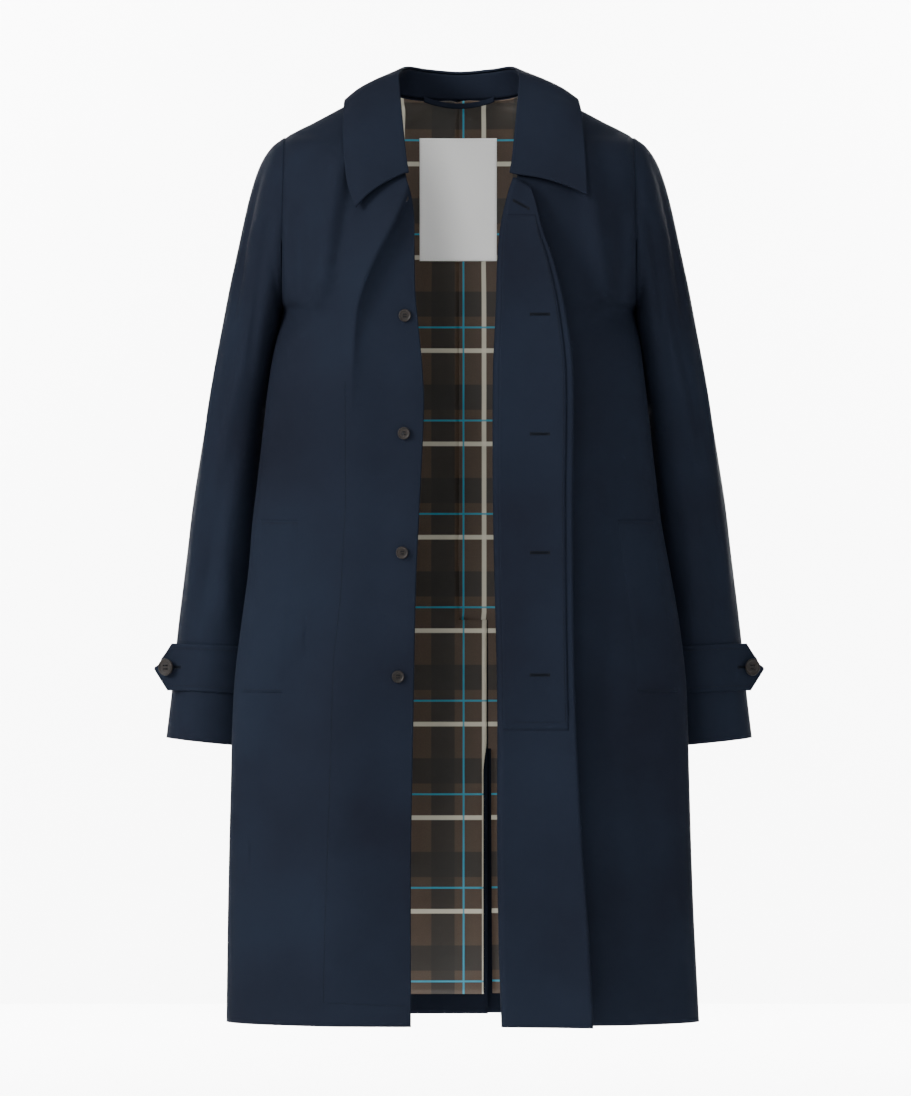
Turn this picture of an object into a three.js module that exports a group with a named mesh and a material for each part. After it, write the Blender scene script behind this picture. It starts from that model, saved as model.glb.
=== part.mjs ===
// Knee-length car coat, open at the front, filled out to the shape it has when worn.
// Millimetres, +Z up, the front faces -Y, the wearer's left is +X.
// The origin is at the centre of the neck opening, at the height of the shoulders.
import * as THREE from "three";

// ---- named sizes -------------------------------------------------------------------------
const SHELL_WALL = 1.8;
const LINING_WALL = 1.0;
const TRIM_WALL = 1.4;
const LAYER_GAP = 0.35;
const SEAM_GAP = 0.6;
const HEM_Z = -998;
const LINING_RISE = 22;
const VENT_TOP_Z = -560;
const VENT_LAP = 32;
const VENT_OPENING = 14;
const FRONT_BUTTON = { radius: 6.8, height: 2.6 };
const CUFF_BUTTON = { radius: 9.5, height: 3.0 };

const vec = (x, y, z) => new THREE.Vector3(x, y, z);
const mix = (a, b, t) => a + (b - a) * t;
const clamp01 = (t) => Math.min(1, Math.max(0, t));
const smooth = (t) => clamp01(t) ** 2 * (3 - 2 * clamp01(t));

// ---- cloth colours -----------------------------------------------------------------------
const cloth = (color) => new THREE.MeshStandardMaterial({ color, roughness: 0.85, metalness: 0 });
const NAVY = 0x1c2533;
const NAVY_FACING = 0x18202c;
const BROWN_LINING = 0x36302a;
const SATIN_WHITE = 0xe8e8e4;
const HORN = 0x2a211c;

// ---- reading a table ---------------------------------------------------------------------
// Smooth value of one column of a table at a key, with the rows ordered by the key column.
function read(table, column, key, at) {
  const rising = table[table.length - 1][key] > table[0][key];
  const order = rising ? 1 : -1;
  let i = 0;
  while (i < table.length - 2 && order * at > order * table[i + 1][key]) i += 1;
  const knot = (k) => table[Math.min(table.length - 1, Math.max(0, k))];
  const slope = (k) => {
    const before = knot(k - 1);
    const after = knot(k + 1);
    return (after[column] - before[column]) / (after[key] - before[key]);
  };
  const low = knot(i);
  const high = knot(i + 1);
  const span = high[key] - low[key];
  const t = clamp01((at - low[key]) / span);
  const rise = t * t * (3 - 2 * t);
  const startEase = t * (1 - t) ** 2 * span;
  const endEase = -t * t * (1 - t) * span;
  return mix(low[column], high[column], rise) + slope(i) * startEase + slope(i + 1) * endEase;
}

// ---- a wall of cloth ---------------------------------------------------------------------
// Normals of a grid of points, met across the join when the grid closes on itself.
function gridNormals(grid, closed) {
  const rows = grid.length;
  const columns = grid[0].length;
  const at = (i, j) => {
    const row = Math.min(rows - 1, Math.max(0, i));
    const column = closed ? (j + columns) % columns : Math.min(columns - 1, Math.max(0, j));
    return grid[row][column];
  };
  return grid.map((line, i) => line.map((_, j) => {
    const across = at(i, j + 1).clone().sub(at(i, j - 1));
    const down = at(i + 1, j).clone().sub(at(i - 1, j));
    return across.cross(down).normalize();
  }));
}

// Moves a grid along its own normals.
function moved(grid, distance, closed = false) {
  const normals = gridNormals(grid, closed);
  return grid.map((line, i) => line.map((p, j) => p.clone().addScaledVector(normals[i][j], distance)));
}

// Closed wall of a stated thickness round a grid of points; its outer face is the one whose
// normal is (across x down).
function sheet(name, grid, wall, color, closed = false, used = () => true) {
  const columns = grid[0].length;
  const sides = [moved(grid, wall / 2, closed), moved(grid, -wall / 2, closed)];
  const positions = sides.flat(2).flatMap((p) => [p.x, p.y, p.z]);
  const index = (side, i, j) => side * grid.length * columns + i * columns + (j % columns);
  const faces = [];
  const edges = new Map();
  const noteEdge = (a, b) => {
    const reverse = `${b}_${a}`;
    if (edges.has(reverse)) edges.delete(reverse);
    else edges.set(`${a}_${b}`, [a, b]);
  };
  for (let i = 0; i < grid.length - 1; i += 1) {
    for (let j = 0; j < columns - (closed ? 0 : 1); j += 1) {
      if (!used(i, j)) continue;
      const corners = [[i, j], [i, j + 1], [i + 1, j + 1], [i + 1, j]];
      const [a, b, c, d] = corners.map(([r, s]) => index(0, r, s));
      const [e, f, g, h] = corners.map(([r, s]) => index(1, r, s));
      faces.push(a, d, b, b, d, c, e, f, h, f, g, h);
      [[a, b], [b, c], [c, d], [d, a]].forEach(([p, q]) => noteEdge(p, q));
    }
  }
  const deep = grid.length * columns;
  edges.forEach(([a, b]) => faces.push(a, b, a + deep, b, b + deep, a + deep));
  return solid(name, positions, faces, color);
}

// Named mesh from positions and faces, turned so that it faces out, without unused points.
function solid(name, positions, faces, color) {
  const signedVolume = () => {
    let sum = 0;
    const p = (k) => vec(positions[3 * k], positions[3 * k + 1], positions[3 * k + 2]);
    for (let k = 0; k < faces.length; k += 3) {
      sum += p(faces[k]).dot(p(faces[k + 1]).cross(p(faces[k + 2])));
    }
    return sum / 6;
  };
  if (signedVolume() < 0) {
    for (let k = 0; k < faces.length; k += 3) {
      [faces[k], faces[k + 1]] = [faces[k + 1], faces[k]];
    }
  }
  const kept = [...new Set(faces)].sort((a, b) => a - b);
  const place = new Map(kept.map((old, now) => [old, now]));
  const points = kept.flatMap((k) => positions.slice(3 * k, 3 * k + 3));
  const geometry = new THREE.BufferGeometry();
  geometry.setAttribute("position", new THREE.Float32BufferAttribute(points, 3));
  geometry.setIndex(faces.map((k) => place.get(k)));
  geometry.computeVertexNormals();
  const mesh = new THREE.Mesh(geometry, cloth(color));
  mesh.name = name;
  return mesh;
}

// ---- soft folds --------------------------------------------------------------------------
// Each fold runs from (x1, z1) to (x2, z2); height is how far the cloth stands out along it
// (negative for a trough), inner and outer are its widths towards and away from the centre line.
const RIGHT_FOLDS = [
  { x1: -130, z1: -60, x2: -150, z2: -190, height: 3.5, inner: 20, outer: 14 },
  { x1: -150, z1: -190, x2: -190, z2: -270, height: 2.5, inner: 20, outer: 16 },
  { x1: -168, z1: -600, x2: -228, z2: -790, height: -4.5, inner: 26, outer: 18 },
  { x1: -120, z1: -640, x2: -140, z2: -998, height: 4, inner: 34, outer: 34 },
];
const LEFT_FOLDS = [
  { x1: 140, z1: -60, x2: 160, z2: -200, height: 3.5, inner: 20, outer: 14 },
  { x1: 168, z1: -200, x2: 192, z2: -290, height: 2.5, inner: 20, outer: 16 },
  { x1: 190, z1: -690, x2: 206, z2: -800, height: -4, inner: 22, outer: 22 },
  { x1: 172, z1: -560, x2: 180, z2: -998, height: 4, inner: 30, outer: 30 },
];
const BACK_FOLDS = [
  { x1: -70, z1: -430, x2: -92, z2: -998, height: 5, inner: 34, outer: 34 },
  { x1: 76, z1: -470, x2: 100, z2: -998, height: 5, inner: 34, outer: 34 },
  { x1: -150, z1: -120, x2: -168, z2: -300, height: 4, inner: 24, outer: 24 },
  { x1: 152, z1: -110, x2: 170, z2: -280, height: 4, inner: 24, outer: 24 },
  { x1: -40, z1: -300, x2: 46, z2: -330, height: -3, inner: 30, outer: 30 },
];

// Crisp crease of the right front: it runs down and out from the notch, with the cloth falling
// away steeply towards the free edge (inner) and slowly towards the arm (outer).
const CREASE = [
  { z: -80, x: 56, height: 2, inner: 6, outer: 14 },
  { z: -107, x: 61, height: 8, inner: 9, outer: 26 },
  { z: -134, x: 73, height: 11, inner: 11, outer: 34 },
  { z: -160, x: 87, height: 12, inner: 12, outer: 38 },
  { z: -188, x: 100, height: 12, inner: 13, outer: 42 },
  { z: -215, x: 109, height: 11, inner: 14, outer: 44 },
  { z: -245, x: 113, height: 9, inner: 15, outer: 44 },
  { z: -285, x: 115, height: 5, inner: 18, outer: 44 },
  { z: -340, x: 116, height: 0, inner: 24, outer: 44 },
];
const CREASE_FALL = 1.3;
function creaseHeight(p) {
  if (p.z > CREASE[0].z || p.z < CREASE[CREASE.length - 1].z) return 0;
  const at = (column) => read(CREASE, column, "z", p.z);
  const off = -p.x - at("x");
  const width = off > 0 ? at("outer") : at("inner");
  return at("height") * Math.exp(-(Math.abs(off / width) ** CREASE_FALL));
}

function foldHeight(folds, p) {
  return folds.reduce((sum, fold) => {
    const run = vec(fold.x2 - fold.x1, 0, fold.z2 - fold.z1);
    const from = vec(p.x - fold.x1, 0, p.z - fold.z1);
    const along = from.dot(run) / run.lengthSq();
    const nearest = clamp01(along);
    const off = vec(p.x - mix(fold.x1, fold.x2, nearest), 0, p.z - mix(fold.z1, fold.z2, nearest));
    const outwards = off.x * Math.sign(fold.x1) > 0;
    const width = outwards ? fold.outer : fold.inner;
    return sum + fold.height * Math.exp(-off.lengthSq() / (width * width));
  }, 0);
}

// ---- the outline of the body panels ------------------------------------------------------
// Side seam: half width on each side and how far back the seam lies, down the body.
const SIDE_SEAM = [
  { z: -222, right: 193, left: 193, y: 0 },
  { z: -258, right: 201, left: 198, y: -16 },
  { z: -302, right: 208, left: 203, y: -26 },
  { z: -383, right: 217, left: 212, y: -30 },
  { z: -450, right: 225, left: 220, y: -32 },
  { z: -500, right: 229, left: 229, y: -33 },
  { z: -584, right: 240, left: 243, y: -34 },
  { z: -640, right: 246, left: 248, y: -34 },
  { z: -702, right: 248, left: 250, y: -33 },
  { z: -860, right: 252, left: 255, y: -28 },
  { z: HEM_Z, right: 254, left: 262, y: -24 },
];
// Front neckline from the side of the neck down to the notch where the collar ends.
const FRONT_NECK = [
  { row: 0, x: 79, y: -6, z: 27 },
  { row: 1, x: 76, y: -26, z: 11 },
  { row: 2, x: 72, y: -48, z: -9 },
  { row: 3, x: 67, y: -67, z: -33 },
  { row: 4, x: 62, y: -84, z: -57 },
  { row: 5, x: 57, y: -97, z: -80 },
];
// Free edge of the right front.
const RIGHT_EDGE = [
  { z: -80, x: 54, y: -97 },
  { z: -120, x: 49, y: -106 },
  { z: -200, x: 47.5, y: -113 },
  { z: -250, x: 43, y: -114 },
  { z: -315, x: 38, y: -114 },
  { z: -420, x: 42, y: -112 },
  { z: -515, x: 46.5, y: -110 },
  { z: -670, x: 49.5, y: -108 },
  { z: -817, x: 52, y: -107 },
  { z: HEM_Z, x: 52, y: -107 },
];
// Left front: the roll where it turns back (its outermost point, with the roll's radius) and
// the free edge of the turned-back band (x and y).
const LEFT_ROLL = [
  { z: -80, x: 60, y: -97, radius: 2.5, edgeX: 78, edgeY: -104 },
  { z: -95, x: 55, y: -101, radius: 3.2, edgeX: 82, edgeY: -109 },
  { z: -132, x: 46.5, y: -108, radius: 4.5, edgeX: 89, edgeY: -119 },
  { z: -170, x: 43, y: -111, radius: 5.5, edgeX: 102, edgeY: -125 },
  { z: -220, x: 41.5, y: -113, radius: 6.5, edgeX: 114, edgeY: -129 },
  { z: -290, x: 38.5, y: -112, radius: 7, edgeX: 123, edgeY: -129 },
  { z: -440, x: 38.5, y: -110, radius: 6.5, edgeX: 122.5, edgeY: -124 },
  { z: -640, x: 43, y: -108, radius: 6.5, edgeX: 125, edgeY: -123 },
  { z: -790, x: 43, y: -107, radius: 6.5, edgeX: 132, edgeY: -126 },
  { z: -900, x: 44.5, y: -106, radius: 6.5, edgeX: 140, edgeY: -127 },
  { z: HEM_Z, x: 47.5, y: -105, radius: 6.5, edgeX: 144.5, edgeY: -125 },
];
// Centre of the back, from the neck seam to the hem.
const CENTRE_BACK = [
  { z: 16, y: 72 },
  { z: -10, y: 88 },
  { z: -40, y: 97 },
  { z: -110, y: 104 },
  { z: -200, y: 104 },
  { z: -300, y: 99 },
  { z: -420, y: 94 },
  { z: -560, y: 91 },
  { z: -700, y: 93 },
  { z: HEM_Z, y: 98 },
];
const BACK_NECK = [
  { row: 0, x: 78, y: 6, z: 27 },
  { row: 1, x: 68, y: 38, z: 20 },
  { row: 2, x: 42, y: 62, z: 17 },
  { row: 3, x: 0, y: 72, z: 16 },
];
const NECK_SIDE = { x: 80, z: 29 };
const SHOULDER = { x: 190, z: -30 };
const SHOULDER_SHARES = [0.08, 0.38, 0.7, 1];
const SHOULDER_TURNS = [66, 62, 50, 38];
const ARMHOLE = { centreZ: -126, halfHeight: 96, front: 66, back: 72, tilt: 3 };
const ARMHOLE_ROWS = 6;
// Height of the body rows below the armhole at the side seam, and of the same rows at the
// centre of the front and of the back.
const FRONT_HEIGHTS = [-80, -116, -160, -204, -243, -280, -318, -362, -408, -454];
const BACK_HEIGHTS = [16, -6, -38, -78, -122, -166, -206, -250, -296, -346, -398, -450];
const SIDE_HEIGHTS = [-258, -302, -350, -402, -454];
const LOW_HEIGHTS = [-506, -560, -620, -680, -740, -800, -860, -920, HEM_Z];

// Point of the armhole seam at an angle from the shoulder point, towards the front (facing -1)
// or towards the back (facing 1).
function armholePoint(side, facing, angle) {
  const depth = facing < 0 ? ARMHOLE.front : ARMHOLE.back;
  const x = SHOULDER.x + ARMHOLE.tilt * (1 - Math.cos(angle)) / 2;
  const z = ARMHOLE.centreZ + ARMHOLE.halfHeight * Math.cos(angle);
  return vec(side * x, facing * Math.max(SEAM_GAP / 2, depth * Math.sin(angle)), z);
}

// Outer ends of the rows: shoulder seam, armhole, then side seam down to a stated hem.
function outerEnds(side, facing, hem) {
  const half = (SEAM_GAP / 2) * facing;
  const ends = SHOULDER_SHARES.map((share, k) => ({
    point: vec(side * mix(NECK_SIDE.x, SHOULDER.x, share), half, mix(NECK_SIDE.z, SHOULDER.z, share)),
    turn: SHOULDER_TURNS[k],
  }));
  for (let k = 1; k <= ARMHOLE_ROWS; k += 1) {
    const angle = (Math.PI * k) / ARMHOLE_ROWS;
    const turn = 32 * (1 - k / ARMHOLE_ROWS);
    ends.push({ point: armholePoint(side, facing, angle), turn });
  }
  const column = side < 0 ? "right" : "left";
  [...SIDE_HEIGHTS, ...LOW_HEIGHTS].forEach((height) => {
    const z = Math.max(height, hem);
    const x = read(SIDE_SEAM, column, "z", z);
    const y = read(SIDE_SEAM, "y", "z", z) + half;
    ends.push({ point: vec(side * x, y, z), turn: 0 });
  });
  return ends;
}

// Point of a row: it leaves the inner end sideways and reaches the outer end turned by the
// stated angle away from front-to-back.
function rowPoint(side, facing, inner, end, t) {
  const outer = end.point;
  const width = Math.abs(outer.x - inner.x);
  const depth = Math.abs(outer.y - inner.y);
  const fall = (outer.z - inner.z) / Math.max(width, 1);
  const inRun = 0.46 * width;
  const outRun = mix(0.62, 0.42, end.turn / 60) * depth;
  const turn = THREE.MathUtils.degToRad(end.turn);
  const slope = 0.46 * Math.sin(turn);
  const first = vec(inner.x + side * inRun, inner.y, inner.z + 0.8 * fall * inRun);
  const second = vec(
    outer.x - side * 0.89 * Math.sin(turn) * outRun,
    outer.y + facing * Math.cos(turn) * outRun,
    outer.z + slope * outRun,
  );
  return new THREE.CubicBezierCurve3(inner, first, second, outer).getPoint(t);
}

// Lifts a point of a panel by the folds of that panel, fading to nothing at the seams.
function folded(point, folds, facing, t, row) {
  const calm = smooth((1 - t) / 0.16) * smooth((row + 1) / 5);
  const crease = folds === RIGHT_FOLDS ? creaseHeight(point) : 0;
  point.y += facing * (foldHeight(folds, point) + crease) * calm;
  return point;
}

// ---- body panels -------------------------------------------------------------------------
const FRONT_STEPS = [0, 0.05, 0.1, 0.15, 0.21, 0.28, 0.36, 0.44, 0.52, 0.6, 0.68, 0.76, 0.84, 0.92, 1];
const BACK_STEPS = [0, 0.05, 0.1, 0.17, 0.25, 0.34, 0.43, 0.52, 0.61, 0.7, 0.78, 0.86, 0.93, 1];
const BAND_STEPS = [0, 0.1, 0.32, 0.55, 0.78, 1];
const ROLL_ANGLES = [45, 90, 135];
const NOTCH_ROW = 5;

// Heights of the rows on the front below the notch, stopping at a hem.
const frontHeights = [...FRONT_HEIGHTS.slice(1), ...LOW_HEIGHTS];
const backHeights = (hem) => [...BACK_HEIGHTS.slice(1), ...LOW_HEIGHTS].map((z) => Math.max(z, hem));

function rightFrontGrid() {
  const ends = outerEnds(-1, -1, HEM_Z);
  const neck = FRONT_NECK.map(({ x, y, z }) => vec(-x, y, z));
  const edge = frontHeights.map((z) => {
    return vec(-read(RIGHT_EDGE, "x", "z", z), read(RIGHT_EDGE, "y", "z", z), z);
  });
  return [...neck, ...edge].map((inner, row) => FRONT_STEPS.map((t) => {
    return folded(rowPoint(-1, -1, inner, ends[row], t), RIGHT_FOLDS, -1, t, row);
  }));
}

// Left front: turned-back band, roll, then the panel itself out to the side.
function leftFrontGrid() {
  const ends = outerEnds(1, -1, HEM_Z);
  const roll = (column, z) => read(LEFT_ROLL, column, "z", z);
  return ends.map((end, row) => {
    if (row < NOTCH_ROW) {
      const { x, y, z } = FRONT_NECK[row];
      const neck = vec(x, y, z);
      const panel = FRONT_STEPS.map((t) => folded(rowPoint(1, -1, neck, end, t), LEFT_FOLDS, -1, t, row));
      const spare = [...BAND_STEPS, ...ROLL_ANGLES].map(() => neck.clone());
      return [...spare, ...panel];
    }
    const z = row === NOTCH_ROW ? FRONT_HEIGHTS[0] : frontHeights[row - NOTCH_ROW - 1];
    const radius = roll("radius", z);
    const centre = vec(roll("x", z) + radius, roll("y", z), z);
    const bandStart = vec(centre.x, centre.y - radius, z);
    const bandEdge = vec(roll("edgeX", z), roll("edgeY", z), row === NOTCH_ROW ? z - 11 : z);
    const band = BAND_STEPS.map((t) => bandEdge.clone().lerp(bandStart, t));
    band.forEach((p, k) => { p.y += 1.5 * Math.sin(Math.PI * BAND_STEPS[k]) * smooth(-z / 200); });
    const turned = ROLL_ANGLES.map((degrees) => {
      const angle = THREE.MathUtils.degToRad(degrees);
      return vec(centre.x - radius * Math.sin(angle), centre.y - radius * Math.cos(angle), z);
    });
    const inner = vec(centre.x, centre.y + radius, z);
    const panel = FRONT_STEPS.map((t) => folded(rowPoint(1, -1, inner, end, t), LEFT_FOLDS, -1, t, row));
    return [...band, ...turned, ...panel];
  });
}

// How far the wearer's right back lies inside the left one along the vent.
const ventShift = (z) => (z > VENT_TOP_Z ? 0 : mix(2.8, VENT_OPENING, smooth((VENT_TOP_Z - z) / 430)));
const LAP_STEPS = [1, 0.66, 0.33];

// Half of the back; the wearer's right half (side -1) carries the vent underlap.
function backGrid(side, hem) {
  const ends = outerEnds(side, 1, hem);
  const neck = BACK_NECK.map(({ x, y, z }) => vec(side * Math.max(x, SEAM_GAP / 2), y, z));
  const centre = backHeights(hem).map((z) => {
    const shift = side < 0 ? ventShift(z) : 0;
    return vec((side * SEAM_GAP) / 2, read(CENTRE_BACK, "y", "z", z) - shift, z);
  });
  return [...neck, ...centre].map((inner, row) => {
    const place = (t) => rowPoint(side, 1, inner, ends[row], t);
    const panel = BACK_STEPS.map((t) => folded(place(t), BACK_FOLDS, 1, t, row));
    if (side > 0) return panel;
    const lap = LAP_STEPS.map((share) => vec(panel[0].x + share * VENT_LAP, panel[0].y, panel[0].z));
    return [...lap, ...panel];
  });
}

function pieces() {
  const rightFront = rightFrontGrid();
  const leftFront = leftFrontGrid();
  const bandColumns = BAND_STEPS.length;
  const hiddenColumns = bandColumns + ROLL_ANGLES.length;
  const leftUsed = (i, j) => i >= NOTCH_ROW || j >= hiddenColumns;
  const facing = moved(leftFront.slice(NOTCH_ROW), layerStep(SHELL_WALL, LINING_WALL))
    .map((line) => line.slice(0, bandColumns + 1));
  const fly = moved(facing, layerStep(LINING_WALL, LINING_WALL))
    .slice(1, 14).map((line) => line.slice(1, bandColumns));
  return { rightFront, leftFront, leftUsed, facing, fly };
}

// Distance between the middles of two layers that lie on each other.
function layerStep(lowerWall, upperWall) {
  return lowerWall / 2 + upperWall / 2 + LAYER_GAP;
}

// ---- sleeves -----------------------------------------------------------------------------
// Rings down a sleeve: outermost and innermost points, how far back the middle lies, and the
// half depths towards the front and the back; tuck is how much further in the left sleeve lies.
const SLEEVE = [
  { outX: 192, outZ: -30, inX: 195.2, inZ: -222, y: 0, front: 66, back: 72, tuck: 0 },
  { outX: 206, outZ: -41, inX: 198.2, inZ: -226, y: 3, front: 68, back: 73, tuck: 0 },
  { outX: 219, outZ: -62, inX: 200, inZ: -234, y: 8, front: 69, back: 74, tuck: 0.5 },
  { outX: 230.5, outZ: -98, inX: 201, inZ: -249, y: 14, front: 70, back: 73, tuck: 1.5 },
  { outX: 242, outZ: -150, inX: 204, inZ: -270, y: 20, front: 69, back: 72, tuck: 2.5 },
  { outX: 254, outZ: -208, inX: 206.5, inZ: -298, y: 25, front: 67, back: 70, tuck: 4 },
  { outX: 266, outZ: -270, inX: 208.5, inZ: -330, y: 30, front: 64, back: 68, tuck: 5 },
  { outX: 277, outZ: -330, inX: 210, inZ: -368, y: 35, front: 61, back: 65, tuck: 5 },
  { outX: 287, outZ: -395, inX: 212.5, inZ: -415, y: 41, front: 58, back: 61, tuck: 4.5 },
  { outX: 296, outZ: -455, inX: 214.5, inZ: -466, y: 47, front: 55, back: 58, tuck: 3.5 },
  { outX: 303.5, outZ: -512, inX: 217, inZ: -520, y: 52, front: 52, back: 54, tuck: 1.5 },
  { outX: 311, outZ: -572, inX: 220, inZ: -577, y: 57, front: 49, back: 50, tuck: 0 },
  { outX: 317, outZ: -632, inX: 222, inZ: -637, y: 60, front: 46, back: 47, tuck: 0 },
  { outX: 324, outZ: -690, inX: 224, inZ: -700, y: 62, front: 45, back: 45, tuck: 0 },
];
const SLEEVE_COLUMNS = 24;
// Creases of a sleeve: middle height and angle from the outer side (degrees, front positive),
// how steeply they run, height and widths.
const SLEEVE_CREASES = [
  { z: -110, angle: 70, slant: 0.5, height: 3.0, tall: 60, wide: 16 },
  { z: -250, angle: 48, slant: -0.2, height: 2.5, tall: 110, wide: 18 },
  { z: -400, angle: 78, slant: 0.25, height: -2.5, tall: 70, wide: 20 },
  { z: -470, angle: 30, slant: -0.3, height: 2.0, tall: 80, wide: 18 },
  { z: -380, angle: -70, slant: 0.3, height: -3.0, tall: 60, wide: 24 },
  { z: -200, angle: -60, slant: -0.3, height: 3.0, tall: 80, wide: 20 },
];

// Point of a sleeve at a ring (which may lie between rows) and an angle from its outer side.
function sleevePoint(side, ring, angle) {
  const low = Math.min(SLEEVE.length - 2, Math.floor(ring));
  const share = ring - low;
  const at = (column) => mix(SLEEVE[low][column], SLEEVE[low + 1][column], share);
  const lean = Math.cos(angle);
  const inX = at("inX") - (side > 0 ? at("tuck") : 0);
  const x = (at("outX") + inX) / 2 + (lean * (at("outX") - inX)) / 2;
  const z = (at("outZ") + at("inZ")) / 2 + (lean * (at("outZ") - at("inZ"))) / 2;
  const forward = Math.sin(angle);
  const y = at("y") - forward * (forward > 0 ? at("front") : at("back"));
  const crease = SLEEVE_CREASES.reduce((sum, c) => {
    const down = (z - c.z) / c.tall;
    const turned = THREE.MathUtils.radToDeg(Math.atan2(Math.sin(angle), Math.cos(angle)));
    const round = (turned - c.angle - c.slant * (z - c.z)) / c.wide;
    return sum + c.height * Math.exp(-down * down - round * round);
  }, 0);
  const ease = smooth(ring / 2.5);
  return vec(side * (x + crease * lean * ease), y - crease * forward * ease, z);
}

function sleeveGrid(side) {
  return SLEEVE.map((_, ring) => {
    return Array.from({ length: SLEEVE_COLUMNS }, (__, k) => {
      return sleevePoint(side, ring, (2 * Math.PI * k) / SLEEVE_COLUMNS);
    });
  });
}

// ---- cuff straps -------------------------------------------------------------------------
const STRAP = { topRing: 11.2, bottomRing: 12.07, reach: 50 };
const STRAP_TURNS = [150, 135, 120, 105, 90, 75, 60];
const STRAP_OUT = [0.3, 0.62, 0.66, 0.82, 1];

// Strap round the front of the cuff, standing away at its pointed end.
function strapGrid(side) {
  const rings = [0, 0.25, 0.5, 0.75, 1].map((t) => mix(STRAP.topRing, STRAP.bottomRing, t));
  return rings.map((ring, row) => {
    const turns = STRAP_TURNS.map((turn) => THREE.MathUtils.degToRad(turn));
    const wrapped = turns.map((angle) => sleevePoint(side, ring, angle));
    const last = wrapped[wrapped.length - 1];
    const run = last.clone().sub(wrapped[wrapped.length - 2]).setZ(0).normalize();
    const middle = Math.abs(row - 2) / 2;
    const free = STRAP_OUT.map((share) => {
      const pointed = share <= 0.62 ? 0 : (share - 0.62) / 0.38;
      const narrow = mix(1, 0.1, pointed);
      const length = STRAP.reach * share - pointed * middle * 1.5;
      const point = last.clone().addScaledVector(run, length);
      const centreZ = sleevePoint(side, (STRAP.topRing + STRAP.bottomRing) / 2, turns[6]).z;
      point.z = mix(centreZ, point.z, narrow);
      return point;
    });
    return [...wrapped, ...free];
  });
}

// ---- buttons -----------------------------------------------------------------------------
// Round button with a raised rim; its back lies at the stated point, facing along a direction.
function button(name, size, back, direction) {
  const { radius, height } = size;
  const rim = radius * 0.2;
  const dish = height * 0.35;
  const profile = [
    [0, 0], [radius * 0.86, 0], [radius, height * 0.4], [radius * 0.94, height],
    [radius - rim, height], [radius - 1.5 * rim, height - dish], [0, height - dish],
  ];
  const around = 14;
  const turnUp = new THREE.Quaternion().setFromUnitVectors(vec(0, 1, 0), direction.clone().normalize());
  const points = [];
  const place = (r, h, angle) => {
    return vec(r * Math.cos(angle), h, r * Math.sin(angle)).applyQuaternion(turnUp).add(back);
  };
  const inner = profile.slice(1, -1);
  inner.forEach(([r, h]) => {
    for (let k = 0; k < around; k += 1) points.push(place(r, h, (2 * Math.PI * k) / around));
  });
  points.push(place(0, 0, 0), place(0, height - dish, 0));
  const base = inner.length * around;
  const faces = [];
  for (let k = 0; k < around; k += 1) {
    const next = (k + 1) % around;
    for (let ring = 0; ring < inner.length - 1; ring += 1) {
      const a = ring * around;
      const b = a + around;
      faces.push(a + k, a + next, b + next, a + k, b + next, b + k);
    }
    faces.push(base, next, k);
    const top = (inner.length - 1) * around;
    faces.push(base + 1, top + k, top + next);
  }
  return solid(name, points.flatMap((p) => [p.x, p.y, p.z]), faces, HORN);
}

// ---- collar ------------------------------------------------------------------------------
// Stations of the collar from the notch round to the centre back: the fold line and the outer
// edge of the leaf (its reach sideways differs on the two sides at the front).
const COLLAR = [
  { foldX: 56, foldY: -101, foldZ: -74, rightX: 112, leftX: 139, edgeY: -113, rightZ: -112, leftZ: -99 },
  { foldX: 59.5, foldY: -87, foldZ: -50, rightX: 121, leftX: 138, edgeY: -99, rightZ: -86, leftZ: -72 },
  { foldX: 62.5, foldY: -66, foldZ: -18, rightX: 125, leftX: 136.5, edgeY: -84, rightZ: -56, leftZ: -46 },
  { foldX: 64.5, foldY: -46, foldZ: 6, rightX: 126.5, leftX: 135, edgeY: -62, rightZ: -27, leftZ: -20 },
  { foldX: 66, foldY: -26, foldZ: 24, rightX: 126.5, leftX: 133, edgeY: -38, rightZ: -5, leftZ: -1 },
  { foldX: 66, foldY: -5, foldZ: 41, rightX: 124, leftX: 128, edgeY: -4, rightZ: 13, leftZ: 14 },
  { foldX: 57, foldY: 34, foldZ: 51, rightX: 110, leftX: 112, edgeY: 56, rightZ: 8, leftZ: 9 },
  { foldX: 34, foldY: 60, foldZ: 50, rightX: 66, leftX: 66, edgeY: 96, rightZ: -5, leftZ: -5 },
  { foldX: 0, foldY: 70, foldZ: 48, rightX: 0, leftX: 0, edgeY: 106, rightZ: -10, leftZ: -10 },
];
const STAND_RISE = 1.6;
const STAND_INSET = 1.4;
const FOLD_SPREAD = 5;
const COLLAR_SUBSTEPS = 2;
// Shares of the way from the neck seam to the fold at which the stand's rows lie, and how far it
// leans in; then how the leaf starts inside the fold, rounds it, and lies between fold and edge.
const STAND_SHARES = [0, 0.4, 0.76];
const STAND_LEAN = 1.5;
const LEAF_START = { share: 0.92, inwards: 1.4, up: 0.7 };
const FOLD_OUT = 0.6;
const FOLD_DROP = 1.2;
const LEAF_SHARES = [0.34, 0.67];
const LEAF_BULGE = { out: 5, up: 3 };

// Neck seam, fold and edge at each station, all the way round.
function collarStations() {
  const seam = [...FRONT_NECK].reverse().concat(BACK_NECK.slice(1));
  const half = (side) => COLLAR.map((row, k) => {
    const across = side < 0 ? "right" : "left";
    const inset = STAND_INSET / Math.hypot(seam[k].x, seam[k].y);
    return {
      seam: vec(side * seam[k].x * (1 - inset), seam[k].y * (1 - inset), seam[k].z + STAND_RISE),
      fold: vec(side * row.foldX, row.foldY, row.foldZ),
      edge: vec(side * row[`${across}X`], row.edgeY, row[`${across}Z`]),
    };
  });
  return [...half(-1), ...half(1).reverse().slice(1)];
}

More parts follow.
